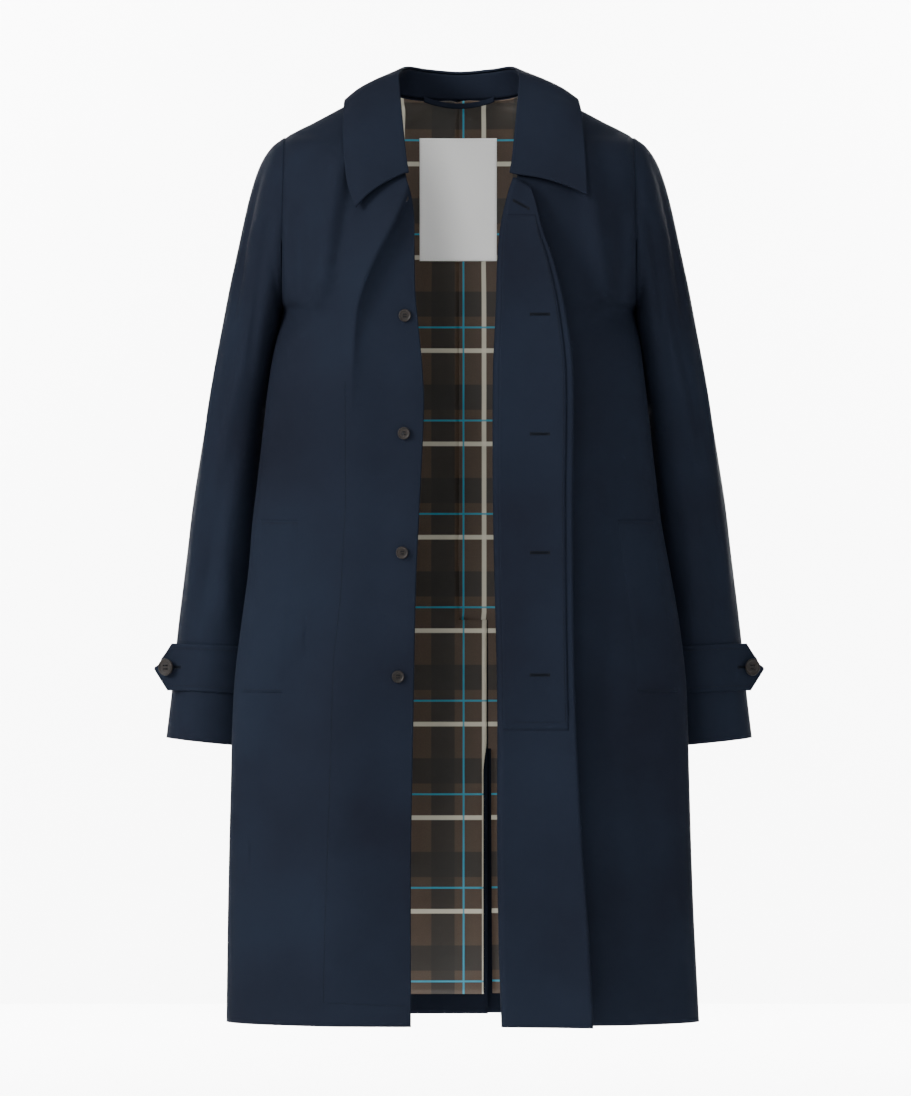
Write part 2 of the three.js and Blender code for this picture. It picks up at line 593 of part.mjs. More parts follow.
// Smooth run of one point through the stations.
function alongCollar(stations, name) {
  const curve = new THREE.CatmullRomCurve3(stations.map((s) => s[name]));
  const count = (stations.length - 1) * COLLAR_SUBSTEPS;
  return Array.from({ length: count + 1 }, (_, k) => curve.getPoint(k / count));
}

function collarGrids() {
  const stations = collarStations();
  const seam = alongCollar(stations, "seam");
  const fold = alongCollar(stations, "fold");
  const edge = alongCollar(stations, "edge");
  const outwards = fold.map((f, k) => edge[k].clone().sub(f).setZ(0).normalize());
  const stand = STAND_SHARES.map((share) => seam.map((p, k) => {
    return p.clone().lerp(fold[k], share).addScaledVector(outwards[k], -STAND_LEAN * share);
  })).map((line) => line.slice(COLLAR_SUBSTEPS, -COLLAR_SUBSTEPS));
  const leafRows = [
    (k) => leafStart(seam[k], fold[k], outwards[k]),
    (k) => fold[k].clone().addScaledVector(outwards[k], FOLD_OUT),
    (k) => fold[k].clone().addScaledVector(outwards[k], FOLD_SPREAD).add(vec(0, 0, -FOLD_DROP)),
    ...LEAF_SHARES.map((share) => (k) => leafPoint(fold[k], edge[k], outwards[k], share)),
    (k) => edge[k].clone(),
  ];
  return { stand, leaf: leafRows.map((row) => fold.map((_, k) => row(k))) };
}

// First point of the leaf, just inside the fold.
function leafStart(seam, fold, outwards) {
  const point = seam.clone().lerp(fold, LEAF_START.share);
  return point.addScaledVector(outwards, -LEAF_START.inwards).add(vec(0, 0, LEAF_START.up));
}

// Point of the leaf between the fold and the edge, bulging up and outwards.
function leafPoint(fold, edge, outwards, share) {
  const bulge = Math.sin(Math.PI * share);
  const point = fold.clone().lerp(edge, share);
  return point.addScaledVector(outwards, LEAF_BULGE.out * bulge).add(vec(0, 0, LEAF_BULGE.up * bulge));
}

// ---- placing things on a panel -----------------------------------------------------------
// Depth (y) of a grid of points at a place seen from the front.
function depthOn(grid, x, z) {
  for (let i = 0; i < grid.length - 1; i += 1) {
    for (let j = 0; j < grid[0].length - 1; j += 1) {
      const corners = [grid[i][j], grid[i][j + 1], grid[i + 1][j + 1], grid[i + 1][j]];
      for (const [a, b, c] of [[0, 1, 2], [0, 2, 3]].map((t) => t.map((k) => corners[k]))) {
        const area = (b.x - a.x) * (c.z - a.z) - (c.x - a.x) * (b.z - a.z);
        const u = ((x - a.x) * (c.z - a.z) - (c.x - a.x) * (z - a.z)) / area;
        const v = ((b.x - a.x) * (z - a.z) - (x - a.x) * (b.z - a.z)) / area;
        if (u >= 0 && v >= 0 && u + v <= 1) return a.y + u * (b.y - a.y) + v * (c.y - a.y);
      }
    }
  }
  throw new Error(`no panel at ${x}, ${z}`);
}

// Rows and columns of a panel between two heights and two steps across, moved out by a distance.
const WELT = {
  heights: [-450, -478, -506, -533, -560, -590, -620, -637],
  steps: [0.52, 0.6, 0.68, 0.76, 0.84],
};
function weltGrid(grid, steps, firstColumn, outwards) {
  const surface = moved(grid, outwards);
  const line = (row, t) => {
    let k = 0;
    while (k < steps.length - 2 && t > steps[k + 1]) k += 1;
    const share = (t - steps[k]) / (steps[k + 1] - steps[k]);
    const points = surface[row];
    return points[firstColumn + k].clone().lerp(points[firstColumn + k + 1], share);
  };
  const at = (z, t) => {
    let row = NOTCH_ROW;
    while (line(row + 1, t).z > z) row += 1;
    const high = line(row, t);
    const low = line(row + 1, t);
    return high.clone().lerp(low, (z - high.z) / (low.z - high.z));
  };
  return WELT.heights.map((z) => WELT.steps.map((t) => at(z, t)));
}

// ---- small pieces ------------------------------------------------------------------------
const LABEL = { left: -44, right: 42, top: -24, bottom: -160, rows: 6, columns: 4, wall: 0.6, stand: 1.2 };
const LOOP = { half: 39, width: 6, sag: 7, topZ: 20, stand: 9, columns: 10 };
const RIGHT_BUTTONS = [
  { x: -61.5, z: -104 },
  { x: -58.5, z: -229 },
  { x: -59.5, z: -356 },
  { x: -61.5, z: -485 },
  { x: -66, z: -619 },
];

// Flat rectangle seen from the front, lying before a pair of linings.
function labelGrid(linings) {
  return Array.from({ length: LABEL.rows + 1 }, (_, i) => {
    const z = mix(LABEL.top, LABEL.bottom, i / LABEL.rows);
    return Array.from({ length: LABEL.columns + 1 }, (__, j) => {
      const x = mix(LABEL.left, LABEL.right, j / LABEL.columns);
      const lining = x < 0 ? linings.right : linings.left;
      const reach = Math.sign(x || -1) * Math.max(2.5, Math.abs(x));
      return vec(x, depthOn(lining, reach, z) - LABEL.stand, z);
    });
  });
}

// Hanger loop: a narrow strap hanging in a shallow curve before the neck seam.
function loopGrid() {
  return [0, 1].map((edge) => Array.from({ length: LOOP.columns + 1 }, (_, k) => {
    const share = (2 * k) / LOOP.columns - 1;
    const y = 72 - LOOP.stand - 9 * share * share;
    return vec(LOOP.half * share, y, LOOP.topZ - LOOP.sag * (1 - share * share) - edge * LOOP.width);
  }));
}

// ---- the coat ----------------------------------------------------------------------------
const group = new THREE.Group();
group.name = "car_coat";
const add = (mesh) => group.add(mesh);

const { rightFront, leftFront, leftUsed, facing, fly } = pieces();
const spareColumns = BAND_STEPS.length + ROLL_ANGLES.length;
add(sheet("front_right", rightFront, SHELL_WALL, NAVY));
add(sheet("front_left", leftFront, SHELL_WALL, NAVY, false, leftUsed));
add(sheet("front_left_facing", facing, LINING_WALL, NAVY_FACING));
add(sheet("fly_underlay", fly, LINING_WALL, NAVY_FACING));

const isVentRow = (i) => i >= BACK_NECK.length + BACK_HEIGHTS.length;
const rightBack = backGrid(-1, HEM_Z);
const leftBack = backGrid(1, HEM_Z);
add(sheet("back_right", rightBack, SHELL_WALL, NAVY, false, (i, j) => isVentRow(i) || j >= LAP_STEPS.length));
add(sheet("back_left", leftBack, SHELL_WALL, NAVY));

const liningStep = layerStep(SHELL_WALL, LINING_WALL) + 0.3;
const linings = {
  right: moved(backGrid(-1, HEM_Z + LINING_RISE), liningStep),
  left: moved(backGrid(1, HEM_Z + LINING_RISE), -liningStep),
};
add(sheet("lining_right", linings.right, LINING_WALL, BROWN_LINING, false,
  (i, j) => (isVentRow(i) ? j >= 1 : j >= LAP_STEPS.length)));
add(sheet("lining_left", linings.left, LINING_WALL, BROWN_LINING, false, (i, j) => !isVentRow(i) || j >= 2));

const { stand, leaf } = collarGrids();
add(sheet("collar_stand", stand, SHELL_WALL, NAVY));
add(sheet("collar_leaf", leaf, SHELL_WALL, NAVY));

for (const [side, name] of [[-1, "right"], [1, "left"]]) {
  add(sheet(`sleeve_${name}`, sleeveGrid(side), SHELL_WALL, NAVY, true));
  const strap = moved(strapGrid(side), -side * layerStep(SHELL_WALL, TRIM_WALL));
  add(sheet(`cuff_strap_${name}`, strap, TRIM_WALL, NAVY));
  const middle = strap[2];
  const seat = middle[middle.length - 3];
  const run = seat.clone().sub(middle[middle.length - 4]).normalize();
  const out = vec(side * Math.abs(run.y), -Math.abs(run.x), 0).normalize();
  const back = seat.clone().addScaledVector(out, TRIM_WALL / 2 + 2 * LAYER_GAP);
  add(button(`cuff_button_${name}`, CUFF_BUTTON, back, out));
}

const weltStep = layerStep(SHELL_WALL, TRIM_WALL) + 0.2;
add(sheet("pocket_welt_right", weltGrid(rightFront, FRONT_STEPS, 0, weltStep), TRIM_WALL, NAVY));
add(sheet("pocket_welt_left", weltGrid(leftFront, FRONT_STEPS, spareColumns, -weltStep), TRIM_WALL, NAVY));

add(sheet("neck_label", labelGrid(linings), LABEL.wall, SATIN_WHITE));
add(sheet("hanger_loop", loopGrid(), LINING_WALL, NAVY_FACING));

RIGHT_BUTTONS.forEach(({ x, z }, k) => {
  const reach = FRONT_BUTTON.radius;
  const across = depthOn(rightFront, x + reach, z) - depthOn(rightFront, x - reach, z);
  const down = depthOn(rightFront, x, z + reach) - depthOn(rightFront, x, z - reach);
  const out = vec(across, -2 * reach, down).normalize();
  const seat = vec(x, depthOn(rightFront, x, z), z);
  const back = seat.addScaledVector(out, SHELL_WALL / 2 + 2 * LAYER_GAP);
  add(button(`front_button_${k + 1}`, FRONT_BUTTON, back, out));
});

export default group;
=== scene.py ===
import math

import bmesh
import bpy
import numpy as np
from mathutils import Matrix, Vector
from mathutils.geometry import delaunay_2d_cdt


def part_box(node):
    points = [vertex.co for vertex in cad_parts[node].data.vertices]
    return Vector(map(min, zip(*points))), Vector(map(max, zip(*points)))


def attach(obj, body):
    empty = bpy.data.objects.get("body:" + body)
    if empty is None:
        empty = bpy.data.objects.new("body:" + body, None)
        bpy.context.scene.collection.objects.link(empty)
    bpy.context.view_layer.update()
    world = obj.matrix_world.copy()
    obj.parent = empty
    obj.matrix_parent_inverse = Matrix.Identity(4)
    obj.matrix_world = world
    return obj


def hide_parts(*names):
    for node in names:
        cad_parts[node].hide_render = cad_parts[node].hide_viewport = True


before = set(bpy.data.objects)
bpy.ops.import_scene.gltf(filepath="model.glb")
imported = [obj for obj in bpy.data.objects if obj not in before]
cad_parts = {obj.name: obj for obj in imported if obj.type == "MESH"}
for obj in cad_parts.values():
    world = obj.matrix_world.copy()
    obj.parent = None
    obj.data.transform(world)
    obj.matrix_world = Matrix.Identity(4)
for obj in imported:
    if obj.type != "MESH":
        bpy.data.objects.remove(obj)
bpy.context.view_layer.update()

# ---- right front -------------------------------------------------------------------------
# Front panel of the wearer's right side: cotton gabardine lined with check cotton, cut with
# an extended edge that carries the five buttons. It hangs open, and its chest folds over in
# one crisp crease that runs down and out from the collar. Lengths are in millimetres.


def table(names, *rows):
    """Named columns of a short table: a dict from each name to an array, a value per row."""
    return dict(zip(names.split(), np.array(rows, float).T))


def read(rows, column, key, at):
    """Smooth value of a column at the keys `at`: a cubic through the rows whose slope at
    each row is that of the line joining the two rows beside it."""
    x, y = rows[key], rows[column]
    if x[0] > x[-1]:
        x, y = x[::-1], y[::-1]
    last = len(x) - 1
    each = np.arange(last + 1)
    before, after = np.maximum(each - 1, 0), np.minimum(each + 1, last)
    slope = (y[after] - y[before]) / (x[after] - x[before])
    at = np.clip(at, x[0], x[-1])
    i = np.clip(np.searchsorted(x, at) - 1, 0, last - 1)
    span = x[i + 1] - x[i]
    t = (at - x[i]) / span
    rise = t * t * (3 - 2 * t)
    ease = slope[i] * t * (1 - t) ** 2 - slope[i + 1] * t * t * (1 - t)
    return y[i] * (1 - rise) + y[i + 1] * rise + ease * span


def smooth(t):
    """0 below 0, 1 above 1, and a cubic ease between."""
    t = np.clip(t, 0, 1)
    return t * t * (3 - 2 * t)


def through(points, at):
    """Smooth run through an array of points, one per whole number, read at any numbers."""
    keys = np.arange(len(points), dtype=float)
    flat = points.reshape(len(points), -1)
    rows = {str(k): flat[:, k] for k in range(flat.shape[1])}
    rows["row"] = keys
    out = np.stack([read(rows, str(k), "row", at) for k in range(flat.shape[1])], -1)
    return out.reshape((len(at),) + points.shape[1:])


side_seam = table(
    "z right left y",
    (-222, 193, 193, 0), (-258, 201, 198, -16), (-302, 208, 203, -26), (-383, 217, 212, -30),
    (-450, 225, 220, -32), (-500, 229, 229, -33), (-584, 240, 243, -34), (-640, 246, 248, -34),
    (-702, 248, 250, -33), (-860, 252, 255, -28), (-998, 254, 262, -24))
front_neck = np.array([
    (79, -6, 27), (76, -26, 11), (72, -48, -9), (67, -67, -33), (62, -84, -57), (57, -97, -80)], float)
hem_z = -998
front_z = np.array([-116, -160, -204, -243, -280, -318, -362, -408, -454,
                    -506, -560, -620, -680, -740, -800, -860, -920, hem_z], float)
side_z = np.array([-258, -302, -350, -402, -454, -506, -560,
                   -620, -680, -740, -800, -860, -920, hem_z], float)
neck_side, shoulder = np.array([80.0, 29.0]), np.array([190.0, -30.0])
# The armhole is half an ellipse on each side, and pieces stand half_seam from each seam.
armhole_x, armhole_z, armhole_half = 190, -126, 96
armhole_front, armhole_back = 66, 72
half_seam = 0.3


def outer_ends(side, facing, hem):
    """Outer ends of the 24 body rows and how far each row is turned (degrees) as it gets
    there: 4 on the straight shoulder seam, 6 on the half ellipse of the armhole, then the
    side seam. side is -1 for the wearer's right; facing is -1 for the front."""
    share = np.array([0.08, 0.38, 0.7, 1.0])
    x, z = (neck_side + (shoulder - neck_side) * share[:, None]).T
    top = np.stack([side * x, np.full(4, facing * half_seam), z], -1)
    angle = np.pi * np.arange(1, 7) / 6
    depth = armhole_front if facing < 0 else armhole_back
    hole = np.stack([
        side * (armhole_x + 1.5 * (1 - np.cos(angle))),
        facing * np.maximum(half_seam, depth * np.sin(angle)),
        armhole_z + armhole_half * np.cos(angle)], -1)
    z = np.maximum(side_z, hem)
    seam = np.stack([
        side * read(side_seam, "right" if side < 0 else "left", "z", z),
        read(side_seam, "y", "z", z) + facing * half_seam, z], -1)
    turn = np.concatenate([[66, 62, 50, 38], 32 * (1 - np.arange(1, 7) / 6), np.zeros(14)])
    return np.concatenate([top, hole, seam]), turn


# How a row sets off and arrives: shares of its width and fall, the slope of the shoulder, and
# shares of its depth where it arrives square and where it arrives turned by most_turn degrees.
leave, leave_fall = 0.46, 0.8
slope_across, slope_down = 0.89, 0.46
square_run, turned_run, most_turn = 0.62, 0.42, 60


def row_handles(side, facing, inner, outer, turn):
    """Four Bezier points of each row: it leaves the inner end sideways, for a share `leave` of
    the width, and reaches the outer end turned by `turn` away from front-to-back. A turned
    end lies along the slope of the shoulder, and its handle is a little shorter."""
    width = np.abs(outer[:, 0] - inner[:, 0])
    depth = np.abs(outer[:, 1] - inner[:, 1])
    fall = (outer[:, 2] - inner[:, 2]) / np.maximum(width, 1)
    run = (square_run + (turned_run - square_run) * turn / most_turn) * depth
    a = np.radians(turn)
    first = inner + np.stack([side * leave * width, 0 * width, leave_fall * fall * leave * width], -1)
    second = outer + np.stack([
        -side * slope_across * np.sin(a) * run, facing * np.cos(a) * run,
        slope_down * np.sin(a) * run], -1)
    return np.stack([inner, first, second, outer], 1)


def bezier(handles, t):
    """Grid of points: every row's Bezier curve at every t."""
    t = t[None, :, None]
    a, b, c, d = (handles[:, k, None, :] for k in range(4))
    return a * (1 - t) ** 3 + 3 * b * t * (1 - t) ** 2 + 3 * c * t * t * (1 - t) + d * t ** 3


def even_rows(handles, step):
    """Row numbers (with parts of a row) about `step` millimetres apart down the panel."""
    gaps = np.linalg.norm(np.diff((handles[:, 0] + handles[:, 3]) / 2, axis=0), axis=-1)
    down = np.concatenate([[0], np.cumsum(gaps)])
    return np.interp(np.linspace(0, down[-1], int(down[-1] / step)), down, np.arange(len(handles)))


def fold_height(folds, x, z):
    """Sum of soft ridges and troughs. Each follows a line from (x1, z1) to (x2, z2) and falls
    off as a bell, narrower or wider towards and away from the centre of the body."""
    total = np.zeros_like(x)
    for x1, z1, x2, z2, height, inner, outer in zip(
            *(folds[k] for k in "x1 z1 x2 z2 height inner outer".split())):
        along = ((x - x1) * (x2 - x1) + (z - z1) * (z2 - z1)) / ((x2 - x1) ** 2 + (z2 - z1) ** 2)
        near = np.clip(along, 0, 1)
        dx, dz = x - (x1 + near * (x2 - x1)), z - (z1 + near * (z2 - z1))
        width = np.where(dx * np.sign(x1) > 0, outer, inner)
        total += height * np.exp(-(dx * dx + dz * dz) / width ** 2)
    return total


def crease_height(crease, x, z):
    """Crisp crease down a front: steep towards the free edge, slow towards the arm."""
    off = np.abs(x) - read(crease, "x", "z", z)
    width = np.where(off > 0, read(crease, "outer", "z", z), read(crease, "inner", "z", z))
    inside = (z <= crease["z"].max()) & (z >= crease["z"].min())
    return inside * read(crease, "height", "z", z) * np.exp(-np.abs(off / width))


calm_share, calm_rows = 0.16, 5


def lift(points, folds, facing, t, rows, crease=None):
    """Moves a panel out along its folds and crease, fading to nothing over the last share
    beside the side seam and over the first rows below the shoulder."""
    calm = smooth((1 - t) / calm_share)[None, :] * smooth((rows + 1) / calm_rows)[:, None]
    x, z = points[..., 0].copy(), points[..., 2].copy()
    rise = fold_height(folds, x, z) + (0 if crease is None else crease_height(crease, x, z))
    points[..., 1] += facing * rise * calm
    return points


def shell(name, points, wall, materials, closed=False, keep=None, flip=False, cut=None):
    """Thin sheet on a grid of points in millimetres, thickened evenly to `wall`. Its UV map is
    in metres of cloth: across each row and down the middle column, unless `cut` gives the
    place of each point on the cloth. The second material, if any, goes on the inner face."""
    rows, cols = points.shape[:2]
    index = np.arange(rows * cols).reshape(rows, cols)
    if closed:
        index = np.concatenate([index, index[:, :1]], 1)
        points = np.concatenate([points, points[:, :1]], 1)
    quads = np.stack([index[:-1, :-1], index[:-1, 1:], index[1:, 1:], index[1:, :-1]], -1)
    used = np.ones(quads.shape[:2], bool) if keep is None else keep
    steps = np.linalg.norm(np.diff(points, axis=1), axis=-1)
    across = np.concatenate([np.zeros((rows, 1)), np.cumsum(steps, 1)], 1)
    middle = points[:, points.shape[1] // 2]
    down = np.concatenate([[0], np.cumsum(np.linalg.norm(np.diff(middle, axis=0), axis=-1))])
    if cut is None:
        cut = np.stack([across, np.broadcast_to(down[:, None], across.shape)], -1)
    uv = cut / 1000
    corner_uv = np.stack([uv[:-1, :-1], uv[:-1, 1:], uv[1:, 1:], uv[1:, :-1]], 2)[used].reshape(-1, 4, 2)
    faces = quads[used].reshape(-1, 4)
    if not flip:
        faces, corner_uv = faces[:, ::-1], corner_uv[:, ::-1]
    kept, renumbered = np.unique(faces, return_inverse=True)
    flat = points[:, :cols].reshape(-1, 3)[kept] / 1000
    name = name.replace(" ", "_") + "_cloth"
    mesh = bpy.data.meshes.new(name)
    mesh.from_pydata(flat.tolist(), [], renumbered.reshape(-1, 4).tolist())
    layer = mesh.uv_layers.new(name="cloth")
    layer.data.foreach_set("uv", corner_uv.ravel())
    mesh.polygons.foreach_set("use_smooth", np.ones(len(faces), bool))
    for material in materials:
        mesh.materials.append(material)
    piece = bpy.data.objects.new(name, mesh)
    bpy.context.scene.collection.objects.link(piece)
    thick = piece.modifiers.new("wall", "SOLIDIFY")
    thick.thickness = wall / 1000
    thick.offset = 0
    thick.use_even_offset = False
    thick.material_offset = len(materials) - 1
    mesh.update()
    return piece


def faced(piece, strip, facing_cloth):
    """Gives the cells in `strip` (one truth value a face) an inner face of the facing cloth
    instead of lining."""
    outer = piece.data.materials[0]
    piece.data.materials.append(outer)
    piece.data.materials.append(facing_cloth)
    piece.data.polygons.foreach_set("material_index", np.where(strip, 2, 0))
    piece.data.update()


def area(points, keep=None):
    """Area in square metres of a grid of points in millimetres."""
    a, b = points[1:, 1:] - points[:-1, :-1], points[1:, :-1] - points[:-1, 1:]
    each = np.linalg.norm(np.cross(a, b), axis=-1) / 2
    return float((each if keep is None else each[keep]).sum()) / 1e6


def linear(code):
    """Linear colour of an sRGB hex code."""
    parts = [int(code[k:k + 2], 16) / 255 for k in (1, 3, 5)]
    return tuple(c / 12.92 if c <= 0.04045 else ((c + 0.055) / 1.055) ** 2.4 for c in parts) + (1.0,)


def node(tree, kind, settings=None, **links):
    """Adds a shader node, sets its settings and inputs, and links any socket given. An input
    goes by its name, or as i and its number."""
    made = tree.nodes.new(kind)
    for key, value in (settings or {}).items():
        setattr(made, key, value)
    for key, value in links.items():
        numbered = key[0] == "i" and key[1:].isdigit()
        socket = made.inputs[int(key[1:]) if numbered else key.replace("_", " ")]
        if isinstance(value, bpy.types.NodeSocket):
            tree.links.new(value, socket)
        else:
            socket.default_value = value
    return made


def gabardine(name, dark, light):
    """Cotton gabardine: steep and very fine twill lines across the cloth, with slight
    unevenness of the dye and of the yarn. It is matt, with hardly any gloss."""
    made = bpy.data.materials.new(name)
    made.use_nodes = True
    tree = made.node_tree
    body = tree.nodes["Principled BSDF"]
    uv = node(tree, "ShaderNodeUVMap", {"uv_map": "cloth"}).outputs[0]
    place = node(tree, "ShaderNodeTexCoord").outputs["Object"]
    turned = node(tree, "ShaderNodeMapping", Vector=uv, Rotation=(0, 0, math.radians(27))).outputs[0]
    twill = node(tree, "ShaderNodeTexWave", {"wave_type": "BANDS", "bands_direction": "X"},
                 Vector=turned, Scale=450.0, Distortion=0.6, Detail=2.0, Detail_Scale=1.5).outputs["Fac"]
    yarn = node(tree, "ShaderNodeTexNoise", Vector=uv, Scale=900.0, Detail=3.0).outputs["Fac"]
    cloud = node(tree, "ShaderNodeTexNoise", Vector=place, Scale=6.0, Detail=4.0).outputs["Fac"]
    mixed = node(tree, "ShaderNodeMath", {"operation": "MULTIPLY_ADD"},
                 i0=twill, i1=0.25, i2=cloud).outputs[0]
    colour = node(tree, "ShaderNodeValToRGB", Fac=mixed)
    colour.color_ramp.elements[0].position = 0.3
    colour.color_ramp.elements[0].color = linear(dark)
    colour.color_ramp.elements[1].position = 0.85
    colour.color_ramp.elements[1].color = linear(light)
    raised = node(tree, "ShaderNodeMath", {"operation": "MULTIPLY_ADD"}, i0=yarn, i1=0.5, i2=twill).outputs[0]
    fine = node(tree, "ShaderNodeBump", Height=raised, Strength=0.35, Distance=0.00012).outputs[0]
    soft = node(tree, "ShaderNodeTexNoise", Vector=place, Scale=22.0, Detail=3.0,
                Roughness=0.45).outputs["Fac"]
    bump = node(tree, "ShaderNodeBump", Height=soft, Normal=fine, Strength=0.3, Distance=0.0012).outputs[0]
    tree.links.new(colour.outputs[0], body.inputs["Base Color"])
    tree.links.new(bump, body.inputs["Normal"])
    body.inputs["Roughness"].default_value = 0.78
    body.inputs["Specular IOR Level"].default_value = 0.03
    return made


# Outer cloth of the coat, and the same cloth on its inner facings.
navy = gabardine("navy gabardine", "#0D0F17", "#131822")
navy_facing = gabardine("navy gabardine facing", "#0D0F17", "#121721")

# Repeat of the check across and down the cloth, half the softness of a stripe's edge, and a
# whole number of repeats and a half, which keeps the place on the cloth above zero. All but
# the last are in metres.
check_across, check_down, soft_edge, repeats_on = 0.092, 0.104, 0.0004, 50.5


def check_cotton(name):
    """Plain-woven cotton check in brown. Bands are stripes of the cloth's own UV in metres:
    a stripe is 1 where the distance to its middle, repeated every `gap`, is under half its
    width, with an edge as soft as one thread."""
    made = bpy.data.materials.new(name)
    made.use_nodes = True
    tree = made.node_tree
    body = tree.nodes["Principled BSDF"]
    uv = node(tree, "ShaderNodeUVMap", {"uv_map": "cloth"}).outputs[0]
    split = node(tree, "ShaderNodeSeparateXYZ", Vector=uv)
    grain = node(tree, "ShaderNodeTexNoise", Vector=uv, Scale=700.0, Detail=2.0).outputs["Fac"]
    ground = node(tree, "ShaderNodeValToRGB", Fac=grain)
    ground.color_ramp.elements[0].color = linear("#33261A")
    ground.color_ramp.elements[1].color = linear("#4A3828")
    colour = ground.outputs[0]
    stripes = [
        (0, check_across, 0.0, 0.026, "#16140F", 0.8), (1, check_down, 0.0, 0.028, "#16140F", 0.8),
        (0, check_across, 0.046, 0.005, "#C9C5B2", 0.85), (1, check_down, 0.052, 0.005, "#C9C5B2", 0.85),
        (0, check_across, 0.023, 0.002, "#128AA3", 0.9), (1, check_down, 0.026, 0.002, "#128AA3", 0.9)]
    for axis, gap, middle, width, code, share in stripes:
        moved_on = node(tree, "ShaderNodeMath", {"operation": "ADD"},
                        i0=split.outputs[axis], i1=gap * repeats_on - middle)
        wrapped = node(tree, "ShaderNodeMath", {"operation": "MODULO"}, i0=moved_on.outputs[0], i1=gap)
        off = node(tree, "ShaderNodeMath", {"operation": "SUBTRACT"}, i0=wrapped.outputs[0], i1=gap / 2)
        away = node(tree, "ShaderNodeMath", {"operation": "ABSOLUTE"}, i0=off.outputs[0])
        inside = node(tree, "ShaderNodeMapRange", i0=away.outputs[0], i1=width / 2 - soft_edge,
                      i2=width / 2 + soft_edge, i3=share, i4=0.0)
        over = node(tree, "ShaderNodeMix", {"data_type": "RGBA"},
                    i0=inside.outputs[0], i6=colour, i7=linear(code))
        colour = over.outputs[2]
    warp, weft = (
        node(tree, "ShaderNodeTexWave", {"bands_direction": way}, Vector=uv, Scale=500.0,
             Distortion=0.4).outputs["Fac"] for way in ("X", "Y"))
    weave = node(tree, "ShaderNodeMath", {"operation": "MULTIPLY"}, i0=warp, i1=weft).outputs[0]
    soft = node(tree, "ShaderNodeTexNoise", Vector=uv, Scale=30.0, Detail=3.0).outputs["Fac"]
    fine = node(tree, "ShaderNodeBump", Height=weave, Strength=0.3, Distance=0.0001).outputs[0]
    bump = node(tree, "ShaderNodeBump", Height=soft, Normal=fine, Strength=0.4, Distance=0.0015).outputs[0]
    tree.links.new(colour, body.inputs["Base Color"])
    tree.links.new(bump, body.inputs["Normal"])
    body.inputs["Roughness"].default_value = 0.62
    body.inputs["Sheen Weight"].default_value = 0.1
    return made


# Check cotton of the lining.
check_lining = check_cotton("check cotton lining")

right_edge = table(
    "z x y",
    (-80, 54, -97), (-120, 49, -106), (-200, 47.5, -113), (-250, 43, -114), (-315, 38, -114),
    (-420, 42, -112), (-515, 46.5, -110), (-670, 49.5, -108), (-817, 52, -107), (-998, 52, -107))
right_folds = table(
    "x1 z1 x2 z2 height inner outer",
    (-130, -60, -150, -190, 6, 14, 10), (-116, -70, -130, -170, -4, 10, 10),
    (-150, -190, -186, -262, 4, 12, 12), (-176, -120, -170, -230, -4.5, 9, 9),
    (-78, -330, -84, -560, -3, 24, 24), (-190, -300, -214, -440, 3, 16, 16),
    (-150, -190, -190, -270, 2.5, 20, 16), (-168, -600, -228, -790, -4.5, 26, 18),
    (-120, -640, -140, -998, 4, 34, 34))
right_crease = table(
    "z x height inner outer",
    (-80, 55, 3, 5, 16), (-95, 57, 9, 6, 24), (-107, 61, 14, 7, 30), (-134, 73, 18, 8, 40),
    (-160, 87, 19, 9, 46),
    (-188, 100, 19, 10, 50), (-215, 109, 18, 11, 52), (-245, 113, 15, 12, 52),
    (-285, 115, 9, 13, 50), (-350, 116, 0, 18, 44))
mirror = np.array([-1, 1, 1])
cloth_wall, row_step, faced_share = 1.8, 4.5, 0.3
right_inner = np.concatenate([front_neck * mirror, np.stack([
    -read(right_edge, "x", "z", front_z), read(right_edge, "y", "z", front_z), front_z], -1)])
right_outer, front_turn = outer_ends(-1, -1, hem_z)
right_handles = row_handles(-1, -1, right_inner, right_outer, front_turn)
right_rows = even_rows(right_handles, row_step)
front_t = np.linspace(0, 1, 70)
right_t = np.linspace(0, 1, 140)
right_front = lift(
    bezier(through(right_handles, right_rows), right_t), right_folds, -1, right_t, right_rows, right_crease)
front_right = shell("front right", right_front, cloth_wall, [navy, check_lining], flip=True)
faced(front_right, np.tile(right_t[:-1] < faced_share, len(right_front) - 1), navy_facing)
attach(front_right, "root")
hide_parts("front_right")

# ---- left front --------------------------------------------------------------------------
# Front panel of the wearer's left side. Its whole free edge is rolled outwards, so the band
# along it shows the inside of the coat: first the roll, then about 85 mm turned back, ending
# in the true front edge, which stands a little off the panel.
left_roll = table(
    "z x y radius edge_x edge_y",
    (-80, 60, -97, 2.5, 78, -104), (-95, 55, -101, 3.2, 82, -109), (-132, 46.5, -108, 4.5, 89, -119),
    (-170, 43, -111, 5.5, 102, -125), (-220, 41.5, -113, 6.5, 114, -129), (-290, 38.5, -112, 7, 123, -129),
    (-440, 38.5, -110, 6.5, 122.5, -124), (-640, 43, -108, 6.5, 125, -123), (-790, 43, -107, 6.5, 132, -126),
    (-900, 44.5, -106, 6.5, 140, -127), (-998, 47.5, -105, 6.5, 144.5, -125))
left_folds = table(
    "x1 z1 x2 z2 height inner outer",
    (140, -60, 160, -200, 6, 14, 10), (176, -120, 172, -230, -4.5, 9, 9), (200, -300, 216, -440, 3, 16, 16),
    (150, -230, 158, -420, -3.5, 14, 20), (168, -200, 192, -290, 2.5, 20, 16),
    (190, -690, 206, -800, -4, 22, 22), (172, -560, 180, -998, 4, 30, 30))
notch_row, last_row = 5, 23
band_z = np.concatenate([front_neck[5:, 2], front_z])


def with_row(rows, wanted):
    """Row numbers with one wanted row put in, in place of any that nearly meets it."""
    return np.sort(np.append(rows[np.abs(rows - wanted) > 0.08], float(wanted)))


